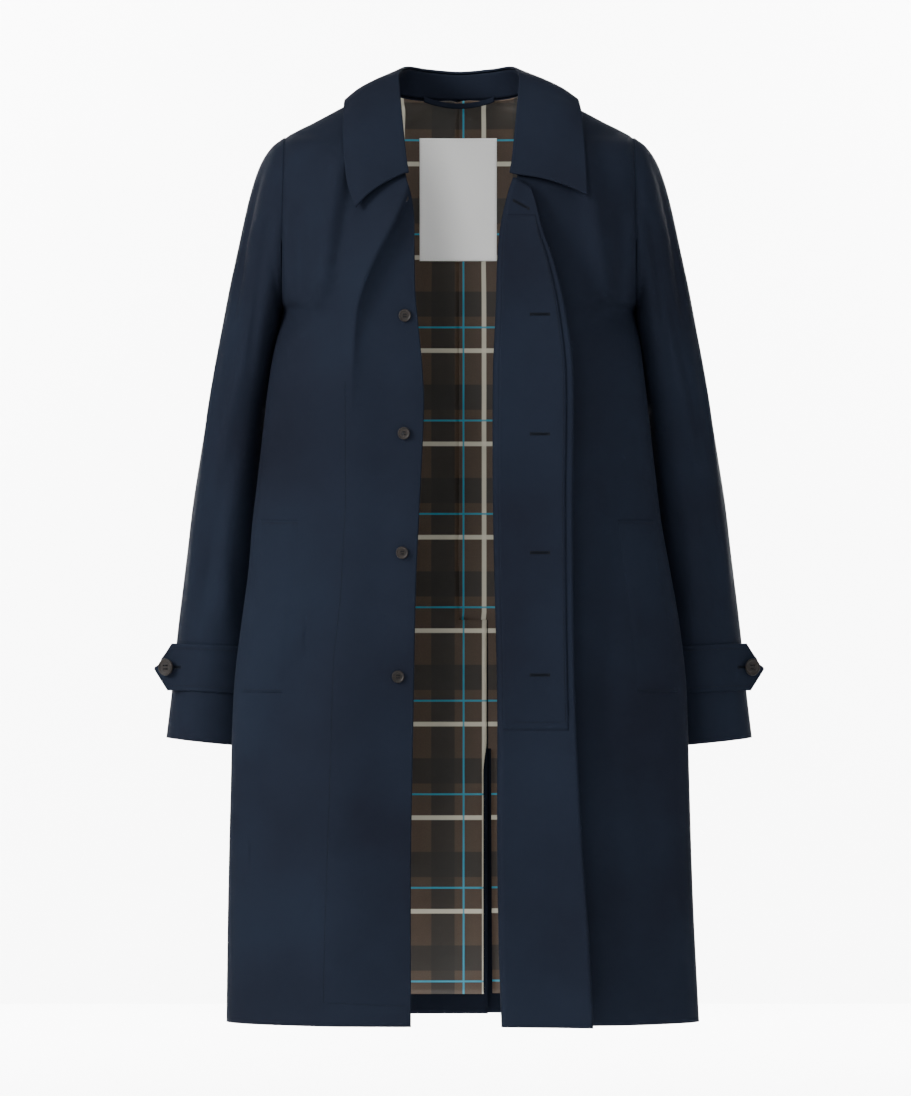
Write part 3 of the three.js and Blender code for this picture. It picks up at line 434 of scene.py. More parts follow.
left_centre = np.stack([
    read(left_roll, "x", "z", band_z) + read(left_roll, "radius", "z", band_z),
    read(left_roll, "y", "z", band_z), band_z], -1)
left_radius = read(left_roll, "radius", "z", band_z)
left_inner = np.concatenate([front_neck[:notch_row], left_centre + left_radius[:, None] * [0, 1, 0]])
left_outer = outer_ends(1, -1, hem_z)[0]
left_handles = row_handles(1, -1, left_inner, left_outer, front_turn)
left_rows = with_row(even_rows(left_handles, row_step), notch_row)
left_panel = lift(bezier(through(left_handles, left_rows), front_t), left_folds, -1, front_t, left_rows)


def turned_back(rows, shares, angles):
    """Band and roll of the left front: straight across from the free edge at the shares given,
    then round the roll. Above the notch, where nothing is turned back, all points meet."""
    z = np.interp(rows, np.arange(notch_row, last_row + 1), band_z)
    radius = read(left_roll, "radius", "z", z)
    centre = np.stack([read(left_roll, "x", "z", z) + radius, read(left_roll, "y", "z", z), z], -1)
    start = centre - radius[:, None] * [0, 1, 0]
    edge = np.stack([
        read(left_roll, "edge_x", "z", z), read(left_roll, "edge_y", "z", z),
        z - 11 * smooth((z + 130) / 50)], -1)
    s = shares[None, :, None]
    band = edge[:, None] * (1 - s) + start[:, None] * s
    band[..., 1] += 1.5 * np.sin(np.pi * shares) * smooth(-z / 200)[:, None]
    turn = radius[:, None, None] * np.stack([-np.sin(angles), -np.cos(angles), 0 * angles], -1)
    return np.concatenate([band, centre[:, None] + turn], 1)


roll_angles = np.radians(np.linspace(0, 180, 14)[1:-1])
band_shares = np.linspace(0, 1, 26)
left_band = turned_back(left_rows, band_shares, roll_angles)
left_front = np.concatenate([left_band, left_panel], 1)
panel_cells = np.arange(left_front.shape[1] - 1)[None] >= left_band.shape[1]
turned_cells = (left_rows[:-1, None] >= notch_row) | panel_cells
front_left = shell("front left", left_front, cloth_wall, [navy, check_lining], keep=turned_cells)
faced(front_left, np.nonzero(turned_cells)[1] < left_band.shape[1], navy_facing)
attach(front_left, "root")
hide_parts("front_left")

# ---- left facing and fly underlay --------------------------------------------------------
# The facing is a strip of the outer cloth sewn inside the front edge. The fly underlay lies
# on it from below the collar to the hip, holds the five buttonholes and hides the buttons.


def normals(points, closed=False):
    """Unit normals of a grid: the cross product of the steps across and down."""
    if closed:
        across = np.roll(points, -1, 1) - np.roll(points, 1, 1)
    else:
        across = np.gradient(points, axis=1)
    out = np.cross(across, np.gradient(points, axis=0))
    return out / np.maximum(np.linalg.norm(out, axis=-1, keepdims=True), 1e-9)


# Wall of the trims, how far the facing lies above the band and the fly above the facing, and
# the rows where the fly begins and ends.
trim_wall, facing_rise, fly_more = 1.0, 1.75, 1.35
fly_top, fly_foot = 6, 18
facing_columns = len(band_shares) + 6
facing_rows = left_rows[left_rows >= notch_row]
facing_band = turned_back(facing_rows, band_shares, roll_angles)[:, :facing_columns]
facing = facing_band + facing_rise * normals(facing_band)
front_left_facing = shell("left front facing", facing, trim_wall, [navy_facing])
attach(front_left_facing, "root")
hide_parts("front_left_facing")

fly_rows = facing_rows[(facing_rows >= fly_top) & (facing_rows <= fly_foot)]
fly_band = turned_back(fly_rows, np.linspace(0.1, 1, 24), roll_angles[:1])
fly_ends = smooth((fly_rows - (fly_top - 0.05)) / 1.1) * smooth((fly_foot + 0.1 - fly_rows) / 0.6)
fly_rise = facing_rise + fly_more * fly_ends
fly = fly_band + fly_rise[:, None, None] * normals(fly_band)
fly_underlay = shell("fly underlay", fly, trim_wall, [navy_facing])
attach(fly_underlay, "root")
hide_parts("fly_underlay")

# ---- back --------------------------------------------------------------------------------
# Two back panels joined at the centre down to the hip, then left open as a vent. The
# wearer's right back runs on 32 mm past the centre as an underlap inside the left one, and
# the two part a little towards the hem.
centre_back = table(
    "z y",
    (16, 72), (-10, 88), (-40, 97), (-110, 104), (-200, 104), (-300, 99), (-420, 94), (-560, 91),
    (-700, 93), (-998, 98))
back_neck = np.array([(78, 6, 27), (68, 38, 20), (42, 62, 17), (0, 72, 16)], float)
back_z = np.array([-6, -38, -78, -122, -166, -206, -250, -296, -346, -398, -450,
                   -506, -560, -620, -680, -740, -800, -860, -920, hem_z], float)
back_folds = table(
    "x1 z1 x2 z2 height inner outer",
    (-70, -430, -92, -998, 5, 34, 34), (76, -470, 100, -998, 5, 34, 34), (-150, -120, -168, -300, 4, 24, 24),
    (152, -110, 170, -280, 4, 24, 24), (-40, -300, 46, -330, -3, 30, 30))
# The vent opens at this row and height. The right panel runs on by the underlap, and lies in
# by first_gap at the vent's top and by hem_gap at the hem.
vent_row, vent_z = 16, -560
underlap, first_gap, hem_gap = 32, 2.8, 14


def back_half(side, hem, step, t):
    """One half of the back down to a hem, as a grid of points and its row numbers; the
    wearer's right half lies further in along the vent."""
    outer, turn = outer_ends(side, 1, hem)
    z = np.maximum(back_z, hem)
    parting = first_gap + (hem_gap - first_gap) * smooth((vent_z - z) / 430)
    shift = np.where(z > vent_z, 0, parting) if side < 0 else 0 * z
    centre = np.stack([np.zeros(len(z)), read(centre_back, "y", "z", z) - shift, z], -1)
    inner = np.concatenate([back_neck * [side, 1, 1], centre])
    handles = row_handles(side, 1, inner, outer, turn)
    rows = with_row(even_rows(handles, step), vent_row)
    return lift(bezier(through(handles, rows), t), back_folds, 1, t, rows), rows


back_t = np.linspace(0, 1, 70)
lap = np.linspace(1, 0, 10)[:-1]


def with_lap(points, width, shares):
    """Adds the underlap: columns carried straight past the centre."""
    start = points[:, :1]
    return np.concatenate([start + shares[None, :, None] * np.array([width, 0, 0]), points], 1)


right_back, right_back_rows = back_half(-1, hem_z, row_step, back_t)
right_back = with_lap(right_back, underlap, lap)
past_lap = np.arange(right_back.shape[1] - 1)[None] >= len(lap)
lap_cells = (right_back_rows[:-1, None] >= vent_row) | past_lap
back_right = shell("back right", right_back, cloth_wall, [navy, navy_facing], keep=lap_cells)
left_back = back_half(1, hem_z, row_step, back_t)[0]
back_left = shell("back left", left_back, cloth_wall, [navy, navy_facing], flip=True)
for piece, name, size in ((back_right, "back_right", area(right_back, lap_cells)),
                          (back_left, "back_left", area(left_back))):
    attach(piece, "root")
    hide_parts(name)

# ---- back lining -------------------------------------------------------------------------
# Check cotton lining of the two back panels, ending 22 mm above the hem so that a strip of the
# outer cloth shows under it. Along the vent each side stops on its own panel.
lining_hem_z, lining_step, lining_off, lining_in = hem_z + 22, 6, 2.05, 18
# The left lining is tucked past the centre above vent_stay_z. It reaches almost to the centre
# above whole_z, and is cut back from the vent below that.
vent_stay_z, whole_z = -559, -700
lining_t = np.linspace(0, 1, 50)


def on_grain(points, side):
    """Place of each point on cloth that hangs straight: along its row from the centre line,
    and straight down."""
    steps = np.linalg.norm(np.diff(points, axis=1), axis=-1)
    along = np.concatenate([np.zeros((len(points), 1)), np.cumsum(steps, 1)], 1)
    return np.stack([points[:, :1, 0] + side * along + lining_in, -points[..., 2]], -1)


right_half, right_lining_rows = back_half(-1, lining_hem_z, lining_step, lining_t)
lining_lap = np.linspace(1, 0, 8)[:-1]
lap_width = 27 + 4 * smooth((right_half[:, 0, 2] + 730) / 40)
lap_reach = lining_lap[None, :, None] * lap_width[:, None, None]
right_lapped = right_half[:, :1] + lap_reach * np.array([1, 0, 0])
lining_right_points = np.concatenate([right_lapped, right_half], 1)
lining_right_points = lining_right_points + lining_off * normals(lining_right_points)
past_lining_lap = np.arange(lining_right_points.shape[1] - 1)[None] >= len(lining_lap)
right_cells = (right_lining_rows[:-1, None] >= vent_row) | past_lining_lap
left_half = back_half(1, lining_hem_z, lining_step, lining_t)[0]
lining_left_points = left_half - lining_off * normals(left_half)
tuck_width = np.where(lining_left_points[:, :1, 2:] > vent_stay_z, -4, 0)
tucked = lining_left_points[:, :1] + tuck_width * np.array([1, 0, 0]) + np.array([0, 0.9, 0])
lining_left_full = np.concatenate([tucked, lining_left_points], 1)
cell_top = lining_left_full[:-1, :1, 2]
column = np.arange(lining_left_full.shape[1] - 1)[None]
left_cells = (cell_top > vent_stay_z) | ((cell_top > whole_z) & (column >= 2)) | (column >= 6)
lining_right = shell("lining right", lining_right_points, trim_wall, [check_lining],
                     keep=right_cells, flip=True, cut=on_grain(lining_right_points, -1))
lining_left = shell("lining left", lining_left_full, trim_wall, [check_lining],
                    keep=left_cells, cut=on_grain(lining_left_full, 1))
for piece, name, size in ((lining_right, "lining_right", area(lining_right_points, right_cells)),
                          (lining_left, "lining_left", area(lining_left_full, left_cells))):
    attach(piece, "root")
    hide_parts(name)

# ---- sleeves -----------------------------------------------------------------------------
# Set-in sleeves of the outer cloth, eased into the armhole at the head and hanging straight
# with a slight bend at the elbow. The tubes are open at both ends, and the seam allowance at
# the head is turned inside.
sleeve_rings = table(
    "out_x out_z in_x in_z y front back tuck",
    (192, -30, 195.2, -222, 0, 66, 72, 0), (206, -41, 198.2, -226, 3, 68, 73, 0),
    (219, -62, 200, -234, 8, 69, 74, 0.5), (230.5, -98, 201, -249, 14, 70, 73, 1.5),
    (242, -150, 204, -270, 20, 69, 72, 2.5), (254, -208, 206.5, -298, 25, 67, 70, 4),
    (266, -270, 208.5, -330, 30, 64, 68, 5), (277, -330, 210, -368, 35, 61, 65, 5),
    (287, -395, 212.5, -415, 41, 58, 61, 4.5), (296, -455, 214.5, -466, 47, 55, 58, 3.5),
    (303.5, -512, 217, -520, 52, 52, 54, 1.5), (311, -572, 220, -577, 57, 49, 50, 0),
    (317, -632, 222, -637, 60, 46, 47, 0), (324, -690, 224, -700, 62, 45, 45, 0))
sleeve_creases = table(
    "z angle slant height tall wide",
    (-110, 70, 0.5, 3.0, 60, 16), (-250, 48, -0.2, 2.5, 110, 18), (-400, 78, 0.25, -2.5, 70, 20),
    (-470, 30, -0.3, 2.0, 80, 18), (-380, -70, 0.3, -3.0, 60, 24), (-200, -60, -0.3, 3.0, 80, 20))
drape_creases = table(
    "z angle slant height tall wide",
    (-160, 42, -0.12, -5.0, 100, 9), (-190, 88, -0.1, -4.5, 90, 11), (-300, 62, 0.1, -4.5, 120, 10),
    (-330, 30, -0.06, 4.0, 130, 11), (-520, 66, 0.12, -4.0, 100, 12), (-560, 100, -0.1, 3.5, 80, 13),
    (-420, 48, 0.08, 3.5, 110, 10))


# The inner edge bows in by under_arm on the rings down to bow_ring. The draped creases fade out
# above the cuff strap, over the last fade_run down to fade_z.
bow_ring, under_arm, fade_z, fade_run = 6.001, 5, -592, 70


def sleeve(side, rings, angles):
    """Points of a sleeve: half ellipses round a ring's middle, deeper at the back, moved out
    by bell-shaped creases that wind a little as they run down. On the upper arm the inner
    edge bows towards the body as the root of half a sine wave."""
    rows = np.stack([sleeve_rings[k] for k in "out_x out_z in_x in_z y front back tuck".split()], -1)
    ox, oz, ix, iz, y, front, back, tuck = (c[:, None] for c in through(rows, rings).T)
    bow = under_arm * np.sqrt(np.sin(np.pi * np.clip(rings / bow_ring, 0, 1)))
    ix = ix - (tuck if side > 0 else 0) - bow[:, None]
    lean, forward = np.cos(angles)[None], np.sin(angles)[None]
    x = (ox + ix) / 2 + lean * (ox - ix) / 2
    z = (oz + iz) / 2 + lean * (oz - iz) / 2
    y = y - forward * np.where(forward > 0, front, back)
    degrees = np.degrees(np.arctan2(forward, lean))
    crease = np.zeros_like(x)
    fade = smooth((z - fade_z) / fade_run)
    creases = [(row, 1.0) for row in zip(*sleeve_creases.values())]
    creases += [(row, fade) for row in zip(*drape_creases.values())]
    for (mid, angle, slant, height, tall, wide), strength in creases:
        down = (z - mid) / tall
        off = (degrees - angle - slant * (z - mid)) / wide
        crease += strength * height * np.exp(-down ** 2 - off ** 2)
    crease *= smooth(rings / 2.5)[:, None]
    return np.stack([side * (x + crease * lean), y - crease * forward, z], -1)


ring_count = len(sleeve_rings["y"])
sleeve_at = np.interp(
    np.linspace(0, 1, 170), np.linspace(0, 1, ring_count), np.arange(float(ring_count)))
around = np.linspace(0, 2 * np.pi, 97)[:-1]
for side, name in ((-1, "right"), (1, "left")):
    tube = sleeve(side, sleeve_at, around)
    allowance = tube[:1] + (tube[:1].mean(1, keepdims=True) - tube[:1]) * 0.03 + [-5 * side, 0, 0]
    tube = np.concatenate([allowance, tube])
    piece = shell("sleeve " + name, tube, cloth_wall, [navy, check_lining], closed=True, flip=side > 0)
    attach(piece, "root")
    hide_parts("sleeve_" + name)

# ---- collar ------------------------------------------------------------------------------
# Turn-down collar of the outer cloth, made as a stand sewn into the neckline and a leaf that
# folds over it, spreads on the shoulders and ends in two points at the front.
collar_rows = table(
    "fold_x fold_y fold_z right_x left_x edge_y right_z left_z",
    (56, -101, -74, 112, 139, -113, -112, -99), (59.5, -87, -50, 121, 138, -99, -86, -72),
    (62.5, -66, -18, 125, 136.5, -84, -56, -46), (64.5, -46, 6, 126.5, 135, -62, -27, -20),
    (66, -26, 24, 126.5, 133, -38, -5, -1), (66, -5, 41, 124, 128, -4, 13, 14),
    (57, 34, 51, 110, 112, 56, 8, 9), (34, 60, 50, 66, 66, 96, -5, -5), (0, 70, 48, 0, 0, 106, -10, -10))


def unit(v):
    """Rows of vectors made one long."""
    return v / np.maximum(np.linalg.norm(v, axis=-1, keepdims=True), 1e-9)


def curve_through(points, count):
    """Smooth curve through points, read at `count` even steps of the row number."""
    return through(points, np.linspace(0, len(points) - 1, count))


neck = np.concatenate([front_neck[::-1], back_neck[1:]])
neck = neck * (1 - 1.4 / np.hypot(neck[:, :1], neck[:, 1:2]) * [1, 1, 0]) + [0, 0, 1.6]
fold = np.stack([collar_rows[k] for k in ("fold_x", "fold_y", "fold_z")], -1)
edges = [
    np.stack([collar_rows[k] for k in (s + "_x", "edge_y", s + "_z")], -1) for s in ("right", "left")]
stations = [
    np.concatenate([a * mirror, b[-2::-1]]) for a, b in ((neck, neck), (fold, fold), tuple(edges))]
seam_line, fold_line, edge_line = (curve_through(s, 225) for s in stations)
away = unit((edge_line - fold_line) * [1, 1, 0])
up = np.array([0, 0, 1.0])


def leaf_part(share):
    """Rows of the leaf between fold and edge, bulging out and up most in the middle."""
    bulge = 5 * np.sin(np.pi * share)
    return fold_line * (1 - share) + edge_line * share + away * bulge + up * 0.6 * bulge


leaf_knots = np.stack([
    seam_line * 0.08 + fold_line * 0.92 - away * 1.4 + up * 0.7, fold_line + away * 0.6,
    fold_line + away * 5 - up * 1.2, leaf_part(0.34), leaf_part(0.67), edge_line])
leaf_at = np.concatenate([np.linspace(0, 2, 14)[:-1], np.linspace(2, 5, 32)])
leaf = through(leaf_knots, leaf_at)
collar_leaf = shell("collar leaf", leaf, cloth_wall, [navy], flip=True)
stand_shares, stand_lean = (0, 0.45, 0.9), 1.5
stand_knots = np.stack([
    seam_line * (1 - s) + fold_line * s - away * stand_lean * s for s in stand_shares])
stand = through(stand_knots, np.linspace(0, 2, 12))[:, 14:-14]
collar_stand = shell("collar stand", stand, cloth_wall, [navy_facing])
for piece, name, size, cut in ((collar_leaf, "collar_leaf", area(leaf), (0.64, 0.10)),
                               (collar_stand, "collar_stand", area(stand), (0.44, 0.04))):
    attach(piece, "root")
    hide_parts(name)

# ---- pocket welts ------------------------------------------------------------------------
# Slanting side pockets, each covered by a wide welt of the outer cloth stitched across at
# its two ends and turned under along its open edge.
welt_top_z, welt_foot_z, welt_wall = -450, -637, 0.8
welt_columns, welt_levels = 26, np.arange(7, 13)
welt_steps = np.linspace(0.52, 0.84, welt_columns)
welts, straps = [], []
for side, name, handles, folds in ((-1, "right", right_handles, right_folds),
                                   (1, "left", left_handles, left_folds)):
    levels = np.interp(
        np.linspace(-welt_top_z, -welt_foot_z, 60), -front_z[welt_levels], welt_levels + len(front_neck))
    surface = lift(bezier(through(handles, levels), welt_steps), folds, -1, welt_steps, levels)
    column = np.arange(welt_columns)
    sides = smooth(np.minimum(column, welt_columns - 1 - column) / 5)[None, :, None]
    welt = surface - side * (0.2 + 0.85 * sides) * normals(surface)
    welts.append(welt)
    piece = shell("pocket welt " + name, welt, welt_wall, [navy], flip=side < 0)
    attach(piece, "root")
    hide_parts("pocket_welt_" + name)

# ---- cuff straps -------------------------------------------------------------------------
# Pointed straps of the outer cloth, held in the sleeve's inner seam and buttoned to the
# front of the cuff, with the point standing off sideways.
strap_free, strap_point, strap_wall, strap_off = 50, 0.62, 1.4, 1.95
strap_top, strap_foot, strap_rows = 11.2, 12.07, 29
strap_middle = strap_rows // 2
strap_out = np.array([0.15, 0.3, 0.46, strap_point, 0.72, 0.81, 0.9, 1.0])
for side, name in ((-1, "right"), (1, "left")):
    levels = np.linspace(strap_top, strap_foot, strap_rows)
    wrapped = sleeve(side, levels, np.radians(np.linspace(150, 60, 40)))
    last = wrapped[:, -1:]
    run = unit((last - wrapped[:, -2:-1]) * [1, 1, 0])
    pointed = np.clip((strap_out - strap_point) / 0.38, 0, 1)[None]
    middle = np.abs(np.linspace(-1, 1, strap_rows))[:, None]
    free = last + run * (strap_free * strap_out[None] - 1.5 * pointed * middle)[..., None]
    centre_z = free[strap_middle:strap_middle + 1, :, 2]
    free[..., 2] = centre_z + (free[..., 2] - centre_z) * (1 - 0.9 * pointed)
    strap = np.concatenate([wrapped, free], 1)
    strap = strap - side * strap_off * normals(strap)
    straps.append(strap)
    piece = shell("cuff strap " + name, strap, strap_wall, [navy], flip=side < 0)
    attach(piece, "root")
    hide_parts("cuff_strap_" + name)

# ---- neck label and hanger loop ----------------------------------------------------------
# White satin label, left bare and sewn flat on the lining, and a narrow loop of the outer
# cloth that is caught at its two ends in the seam at the back of the neck.


def satin(name):
    """White satin: long fine warp floats across the label."""
    made = bpy.data.materials.new(name)
    made.use_nodes = True
    tree = made.node_tree
    body = tree.nodes["Principled BSDF"]
    uv = node(tree, "ShaderNodeUVMap", {"uv_map": "cloth"}).outputs[0]
    stretched = node(tree, "ShaderNodeMapping", Vector=uv, Scale=(300, 2600, 1)).outputs[0]
    threads = node(tree, "ShaderNodeTexNoise", Vector=stretched, Scale=1.0, Detail=2.0).outputs["Fac"]
    tone = node(tree, "ShaderNodeValToRGB", Fac=threads)
    tone.color_ramp.elements[0].color = linear("#FAFAF7")
    tone.color_ramp.elements[1].color = linear("#FFFFFF")
    bump = node(tree, "ShaderNodeBump", Height=threads, Strength=0.25, Distance=0.0001).outputs[0]
    tree.links.new(tone.outputs[0], body.inputs["Base Color"])
    tree.links.new(bump, body.inputs["Normal"])
    body.inputs["Roughness"].default_value = 0.42
    return made


# Satin of the label.
white_satin = satin("white satin")
label_x, label_z = np.meshgrid(np.linspace(-44, 42, 44), np.linspace(-24, -160, 68))


def lining_depth(x, z):
    """How far back the lining lies at points seen from the front: read along its rows first,
    then between them."""
    depth = np.zeros_like(x)
    right_only = lining_right_points[:, len(lining_lap):]
    for half, mask in ((right_only, x < 0), (lining_left_points, x >= 0)):
        at_x = np.maximum(np.abs(x), 2.5)
        near = half[:, :20]
        rows = np.stack([
            np.stack([np.interp(at_x[0], np.abs(r[:, 0]), r[:, k]) for k in (1, 2)], -1) for r in near])
        cols = [np.interp(-z[:, j], -rows[:, j, 1], rows[:, j, 0]) for j in range(x.shape[1])]
        depth = np.where(mask, np.stack(cols, 1), depth)
    return depth


label_y = lining_depth(label_x, label_z) - 1.2
label = np.stack([label_x, label_y, label_z], -1)
neck_label = shell("neck label", label, 0.6, [white_satin])
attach(neck_label, "root")
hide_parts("neck_label")

loop_share = np.linspace(-1, 1, 60)
loop_line = np.stack([39 * loop_share, 63 - 9 * loop_share ** 2, 20 - 7 * (1 - loop_share ** 2)], -1)
loop = np.stack([loop_line - up * d for d in np.linspace(0, 6, 5)])
hanger_loop = shell("hanger loop", loop, trim_wall, [navy_facing])
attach(hanger_loop, "root")
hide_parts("hanger_loop")

# ---- stitching ---------------------------------------------------------------------------
# Tonal lockstitch in navy polyester thread, about three stitches to the centimetre, sunk
# into the cloth: facing and hem lines, pocket ends, strap and fly edges.


def thread(name, dark, light):
    """Twisted sewing thread: a fine slanting twist along the fibres and a low gloss."""
    made = bpy.data.materials.new(name)
    made.use_nodes = True
    tree = made.node_tree
    body = tree.nodes["Principled BSDF"]
    place = node(tree, "ShaderNodeTexCoord").outputs["Object"]
    turned = node(tree, "ShaderNodeMapping", Vector=place, Rotation=(0.6, 0.0, 0.7)).outputs[0]
    twist = node(tree, "ShaderNodeTexWave", {"bands_direction": "DIAGONAL"},
                 Vector=turned, Scale=900.0, Distortion=0.5)
    tone = node(tree, "ShaderNodeValToRGB", Fac=twist.outputs["Fac"])
    tone.color_ramp.elements[0].color = linear(dark)
    tone.color_ramp.elements[1].color = linear(light)
    bump = node(tree, "ShaderNodeBump", Height=twist.outputs["Fac"], Strength=0.4,
                Distance=0.00006).outputs[0]
    tree.links.new(tone.outputs[0], body.inputs["Base Color"])
    tree.links.new(bump, body.inputs["Normal"])
    body.inputs["Roughness"].default_value = 0.7
    body.inputs["Specular IOR Level"].default_value = 0.1
    return made


# Navy sewing thread.
navy_thread = thread("navy sewing thread", "#030508", "#07090E")


def settle(sheet_points, x, z, rise):
    """Points `rise` millimetres in front of a sheet, at x and z as seen from the front: each
    is on the plane of the grid point nearest to it."""
    flat = sheet_points.reshape(-1, 3)
    out = normals(sheet_points).reshape(-1, 3)
    x, z = np.asarray(x, float), np.asarray(z, float)
    near = np.array([np.argmin((flat[:, 0] - a) ** 2 + (flat[:, 2] - b) ** 2) for a, b in zip(x, z)])
    out = out[near] * -np.sign(out[near, 1:2])
    close = flat[near]
    y = close[:, 1] - (out[:, 0] * (x - close[:, 0]) + out[:, 2] * (z - close[:, 2])) / out[:, 1]
    return np.stack([x, y, z], -1) + out * rise


def spindles(name, starts, ends, radius, material):
    """One mesh of short threads: each is a spindle of 20 points, a tip, three rings of six
    round the line from start to end, and a tip."""
    along = unit(ends - starts)
    side = unit(np.cross(along, [0.31, 0.87, 0.38]))
    other = np.cross(along, side)
    turn = 2 * np.pi * np.arange(6) / 6
    ring = side[:, None] * np.cos(turn)[:, None] + other[:, None] * np.sin(turn)[:, None]
    points = [starts[:, None]]
    for share, full in ((0.14, 0.8), (0.5, 1.0), (0.86, 0.8)):
        points.append(starts[:, None] * (1 - share) + ends[:, None] * share + ring * radius * full)
    points = np.concatenate(points + [ends[:, None]], 1)
    step = np.arange(6)
    after = (step + 1) % 6
    caps = [[0, 1 + b, 1 + a] for a, b in zip(step, after)]
    caps += [[19, 13 + a, 13 + b] for a, b in zip(step, after)]
    walls = [[k + a, k + b, k + 6 + b, k + 6 + a] for k in (1, 7) for a, b in zip(step, after)]
    faces = [[20 * n + k for k in face] for n in range(len(points)) for face in caps + walls]
    mesh = bpy.data.meshes.new(name)
    mesh.from_pydata((points.reshape(-1, 3) / 1000).tolist(), [], faces)
    mesh.polygons.foreach_set("use_smooth", np.ones(len(faces), bool))
    mesh.materials.append(material)
    mesh.update()
    piece = bpy.data.objects.new(name, mesh)
    bpy.context.scene.collection.objects.link(piece)
    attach(piece, "root")
    return piece


stitch_pitch, stitch_length = 3.2, 2.4


def runs(line_points):
    """Length run from the start of a line of points to each of them."""
    return np.concatenate([[0], np.cumsum(np.linalg.norm(np.diff(line_points, axis=0), axis=-1))])


def edge_seam(line_points, pitch=stitch_pitch, length=stitch_length):
    """Starts and ends of the stitches along a line of points: one every pitch, each of the
    given length, until the line is used up."""
    run = runs(line_points)
    first = np.arange(0, run[-1] - length, pitch)
    return np.stack([
        np.stack([np.interp(at, run, column) for column in line_points.T], -1)
        for at in (first, first + length)])


def seam(sheet_points, line, rise, pitch=stitch_pitch, length=stitch_length):
    """Starts and ends of the stitches along a line of (x, z) corners on a sheet."""
    ends = edge_seam(np.array(line, float), pitch, length)
    return np.stack([settle(sheet_points, *at.T, rise) for at in ends])


def sew(name, parts, radius=0.26, material=navy_thread):
    """Joins several runs of stitches in one piece."""
    starts, ends = np.concatenate(parts, 1)
    return spindles(name, starts, ends, radius, material)


right_facing_line = [
    (-123, -300), (-123, -435), (-128.5, -536), (-136, -601), (-139, -709), (-145, -885), (-147, -972)]
sew("right_front_stitching", [
    seam(right_front, right_facing_line, 1.0), seam(right_front, [(-147, -972), (-58, -975)], 1.0)])
sew("left_front_stitching", [
    seam(left_band[:, :len(band_shares)], [(126, -974), (60, -975)], 1.0),
    edge_seam((left_band + 1.0 * normals(left_band))[8:-4, 2])])
sew("fly_stitching", [
    edge_seam((fly + 0.65 * normals(fly))[2:-2, 1]),
    edge_seam((fly + 0.65 * normals(fly))[-3, 1:22])])
for side, name, welt_points in ((-1, "right", welts[0]), (1, "left", welts[1])):
    lifted = welt_points - side * 0.45 * normals(welt_points)
    sew("pocket_stitching_" + name, [edge_seam(lifted[1, 2:-2]), edge_seam(lifted[-2, 2:-2])])
for side, name, strap_points in ((-1, "right", straps[0]), (1, "left", straps[1])):
    lifted = strap_points - side * 0.85 * normals(strap_points)
    sew("strap_stitching_" + name, [edge_seam(lifted[3, 2:-2]), edge_seam(lifted[-4, 2:-2])])

# ---- buttonholes -------------------------------------------------------------------------
# Worked buttonholes across the fly underlay and the straps: a slit between two rows of
# close bars of thread with a longer bar at each end. Along each slit lies a thin dark spindle
# of painted shade in the opening. A small tack closes the fly's foot.
# Darker cloth of the spindles along the slits: painted shade in each opening.
slit_shade_cloth = gabardine("painted shade in a slit", "#06090E", "#0A0E15")
# Where a bar of thread starts and ends beside the slit, the reach of the end bars, the
# radius of each bar's thread, and the radius of the dark spindle of painted shade in the slit.
bar_low, bar_high, bar_end, bar_thread, slit_shade_radius = 0.35, 1.75, 1.9, 0.3, 0.6
fly_hole_rise = 0.55


def buttonhole(sheet_points, x, z, length, slant, rise):
    """Starts and ends of the bars round a slit whose middle is at (x, z), and the slit's own
    line, tilted by a rise of `slant` over its length."""
    share = np.arange(-0.5, 0.5, 0.75 / length)
    mid_x, mid_z = x + share * length, z + share * slant
    bars = [
        np.stack([settle(sheet_points, mid_x, mid_z + k * reach, rise) for reach in (bar_low, bar_high)])
        for k in (-1, 1)]
    for end in (-0.5, 0.5):
        for step in (0.0, 0.6):
            at = [x + end * (length + 2 * step)]
            bars.append(np.stack([
                settle(sheet_points, at, [z + end * slant + reach], rise) for reach in (-bar_end, bar_end)]))
    ends = [(x + k * length / 2, z + k * slant / 2) for k in (-1, 1)]
    return bars, seam(sheet_points, ends, rise - 0.1, length, length - 0.1)


hole_bars, hole_slits = [], []
for cloth, x, z, length, slant in ((fly, 87, -228, 20, 0), (fly, 87, -357, 20, 0), (fly, 87, -485, 20, 0),
                                   (fly, 87, -617, 20, 0), (facing, 67, -109, 16, -9)):
    bars, slit = buttonhole(cloth, x, z, length, slant, fly_hole_rise)
    hole_bars += bars
    hole_slits.append(slit)
tack = np.arange(0, 6, 0.55)
hole_bars.append(np.stack([settle(facing, x + 0 * tack, -663 - tack, 0.6) for x in (68.5, 70.3)]))
sew("fly_buttonholes", hole_bars, bar_thread)
# Dark spindles along the fly's slits: painted shade in each opening.
sew("fly_buttonhole_slit_shade", hole_slits, slit_shade_radius, slit_shade_cloth)
for side, name, strap_points in ((-1, "right", straps[0]), (1, "left", straps[1])):
    raised = strap_points - side * 0.8 * normals(strap_points)
    middle = raised[strap_middle]
    run = runs(middle)
    at = run[-1] - np.arange(12, 34, 0.8)
    spine = np.stack([np.interp(at, run, column) for column in middle.T], -1)
    bars = [np.stack([spine + up * k * bar_low, spine + up * k * bar_high]) for k in (-1, 1)]
    sew("strap_buttonhole_" + name, bars, bar_thread)
    # Dark spindle along the strap's slit: painted shade in the opening.
    sew("strap_slit_shade_" + name, [edge_seam(spine, 2.0, 2.0)], slit_shade_radius, slit_shade_cloth)

# ---- buttons -----------------------------------------------------------------------------
# Dark horn buttons, turned with a raised round rim about a flat dish with four holes, sewn
# on with navy thread in two bars. Five small ones on the front and one on each strap.


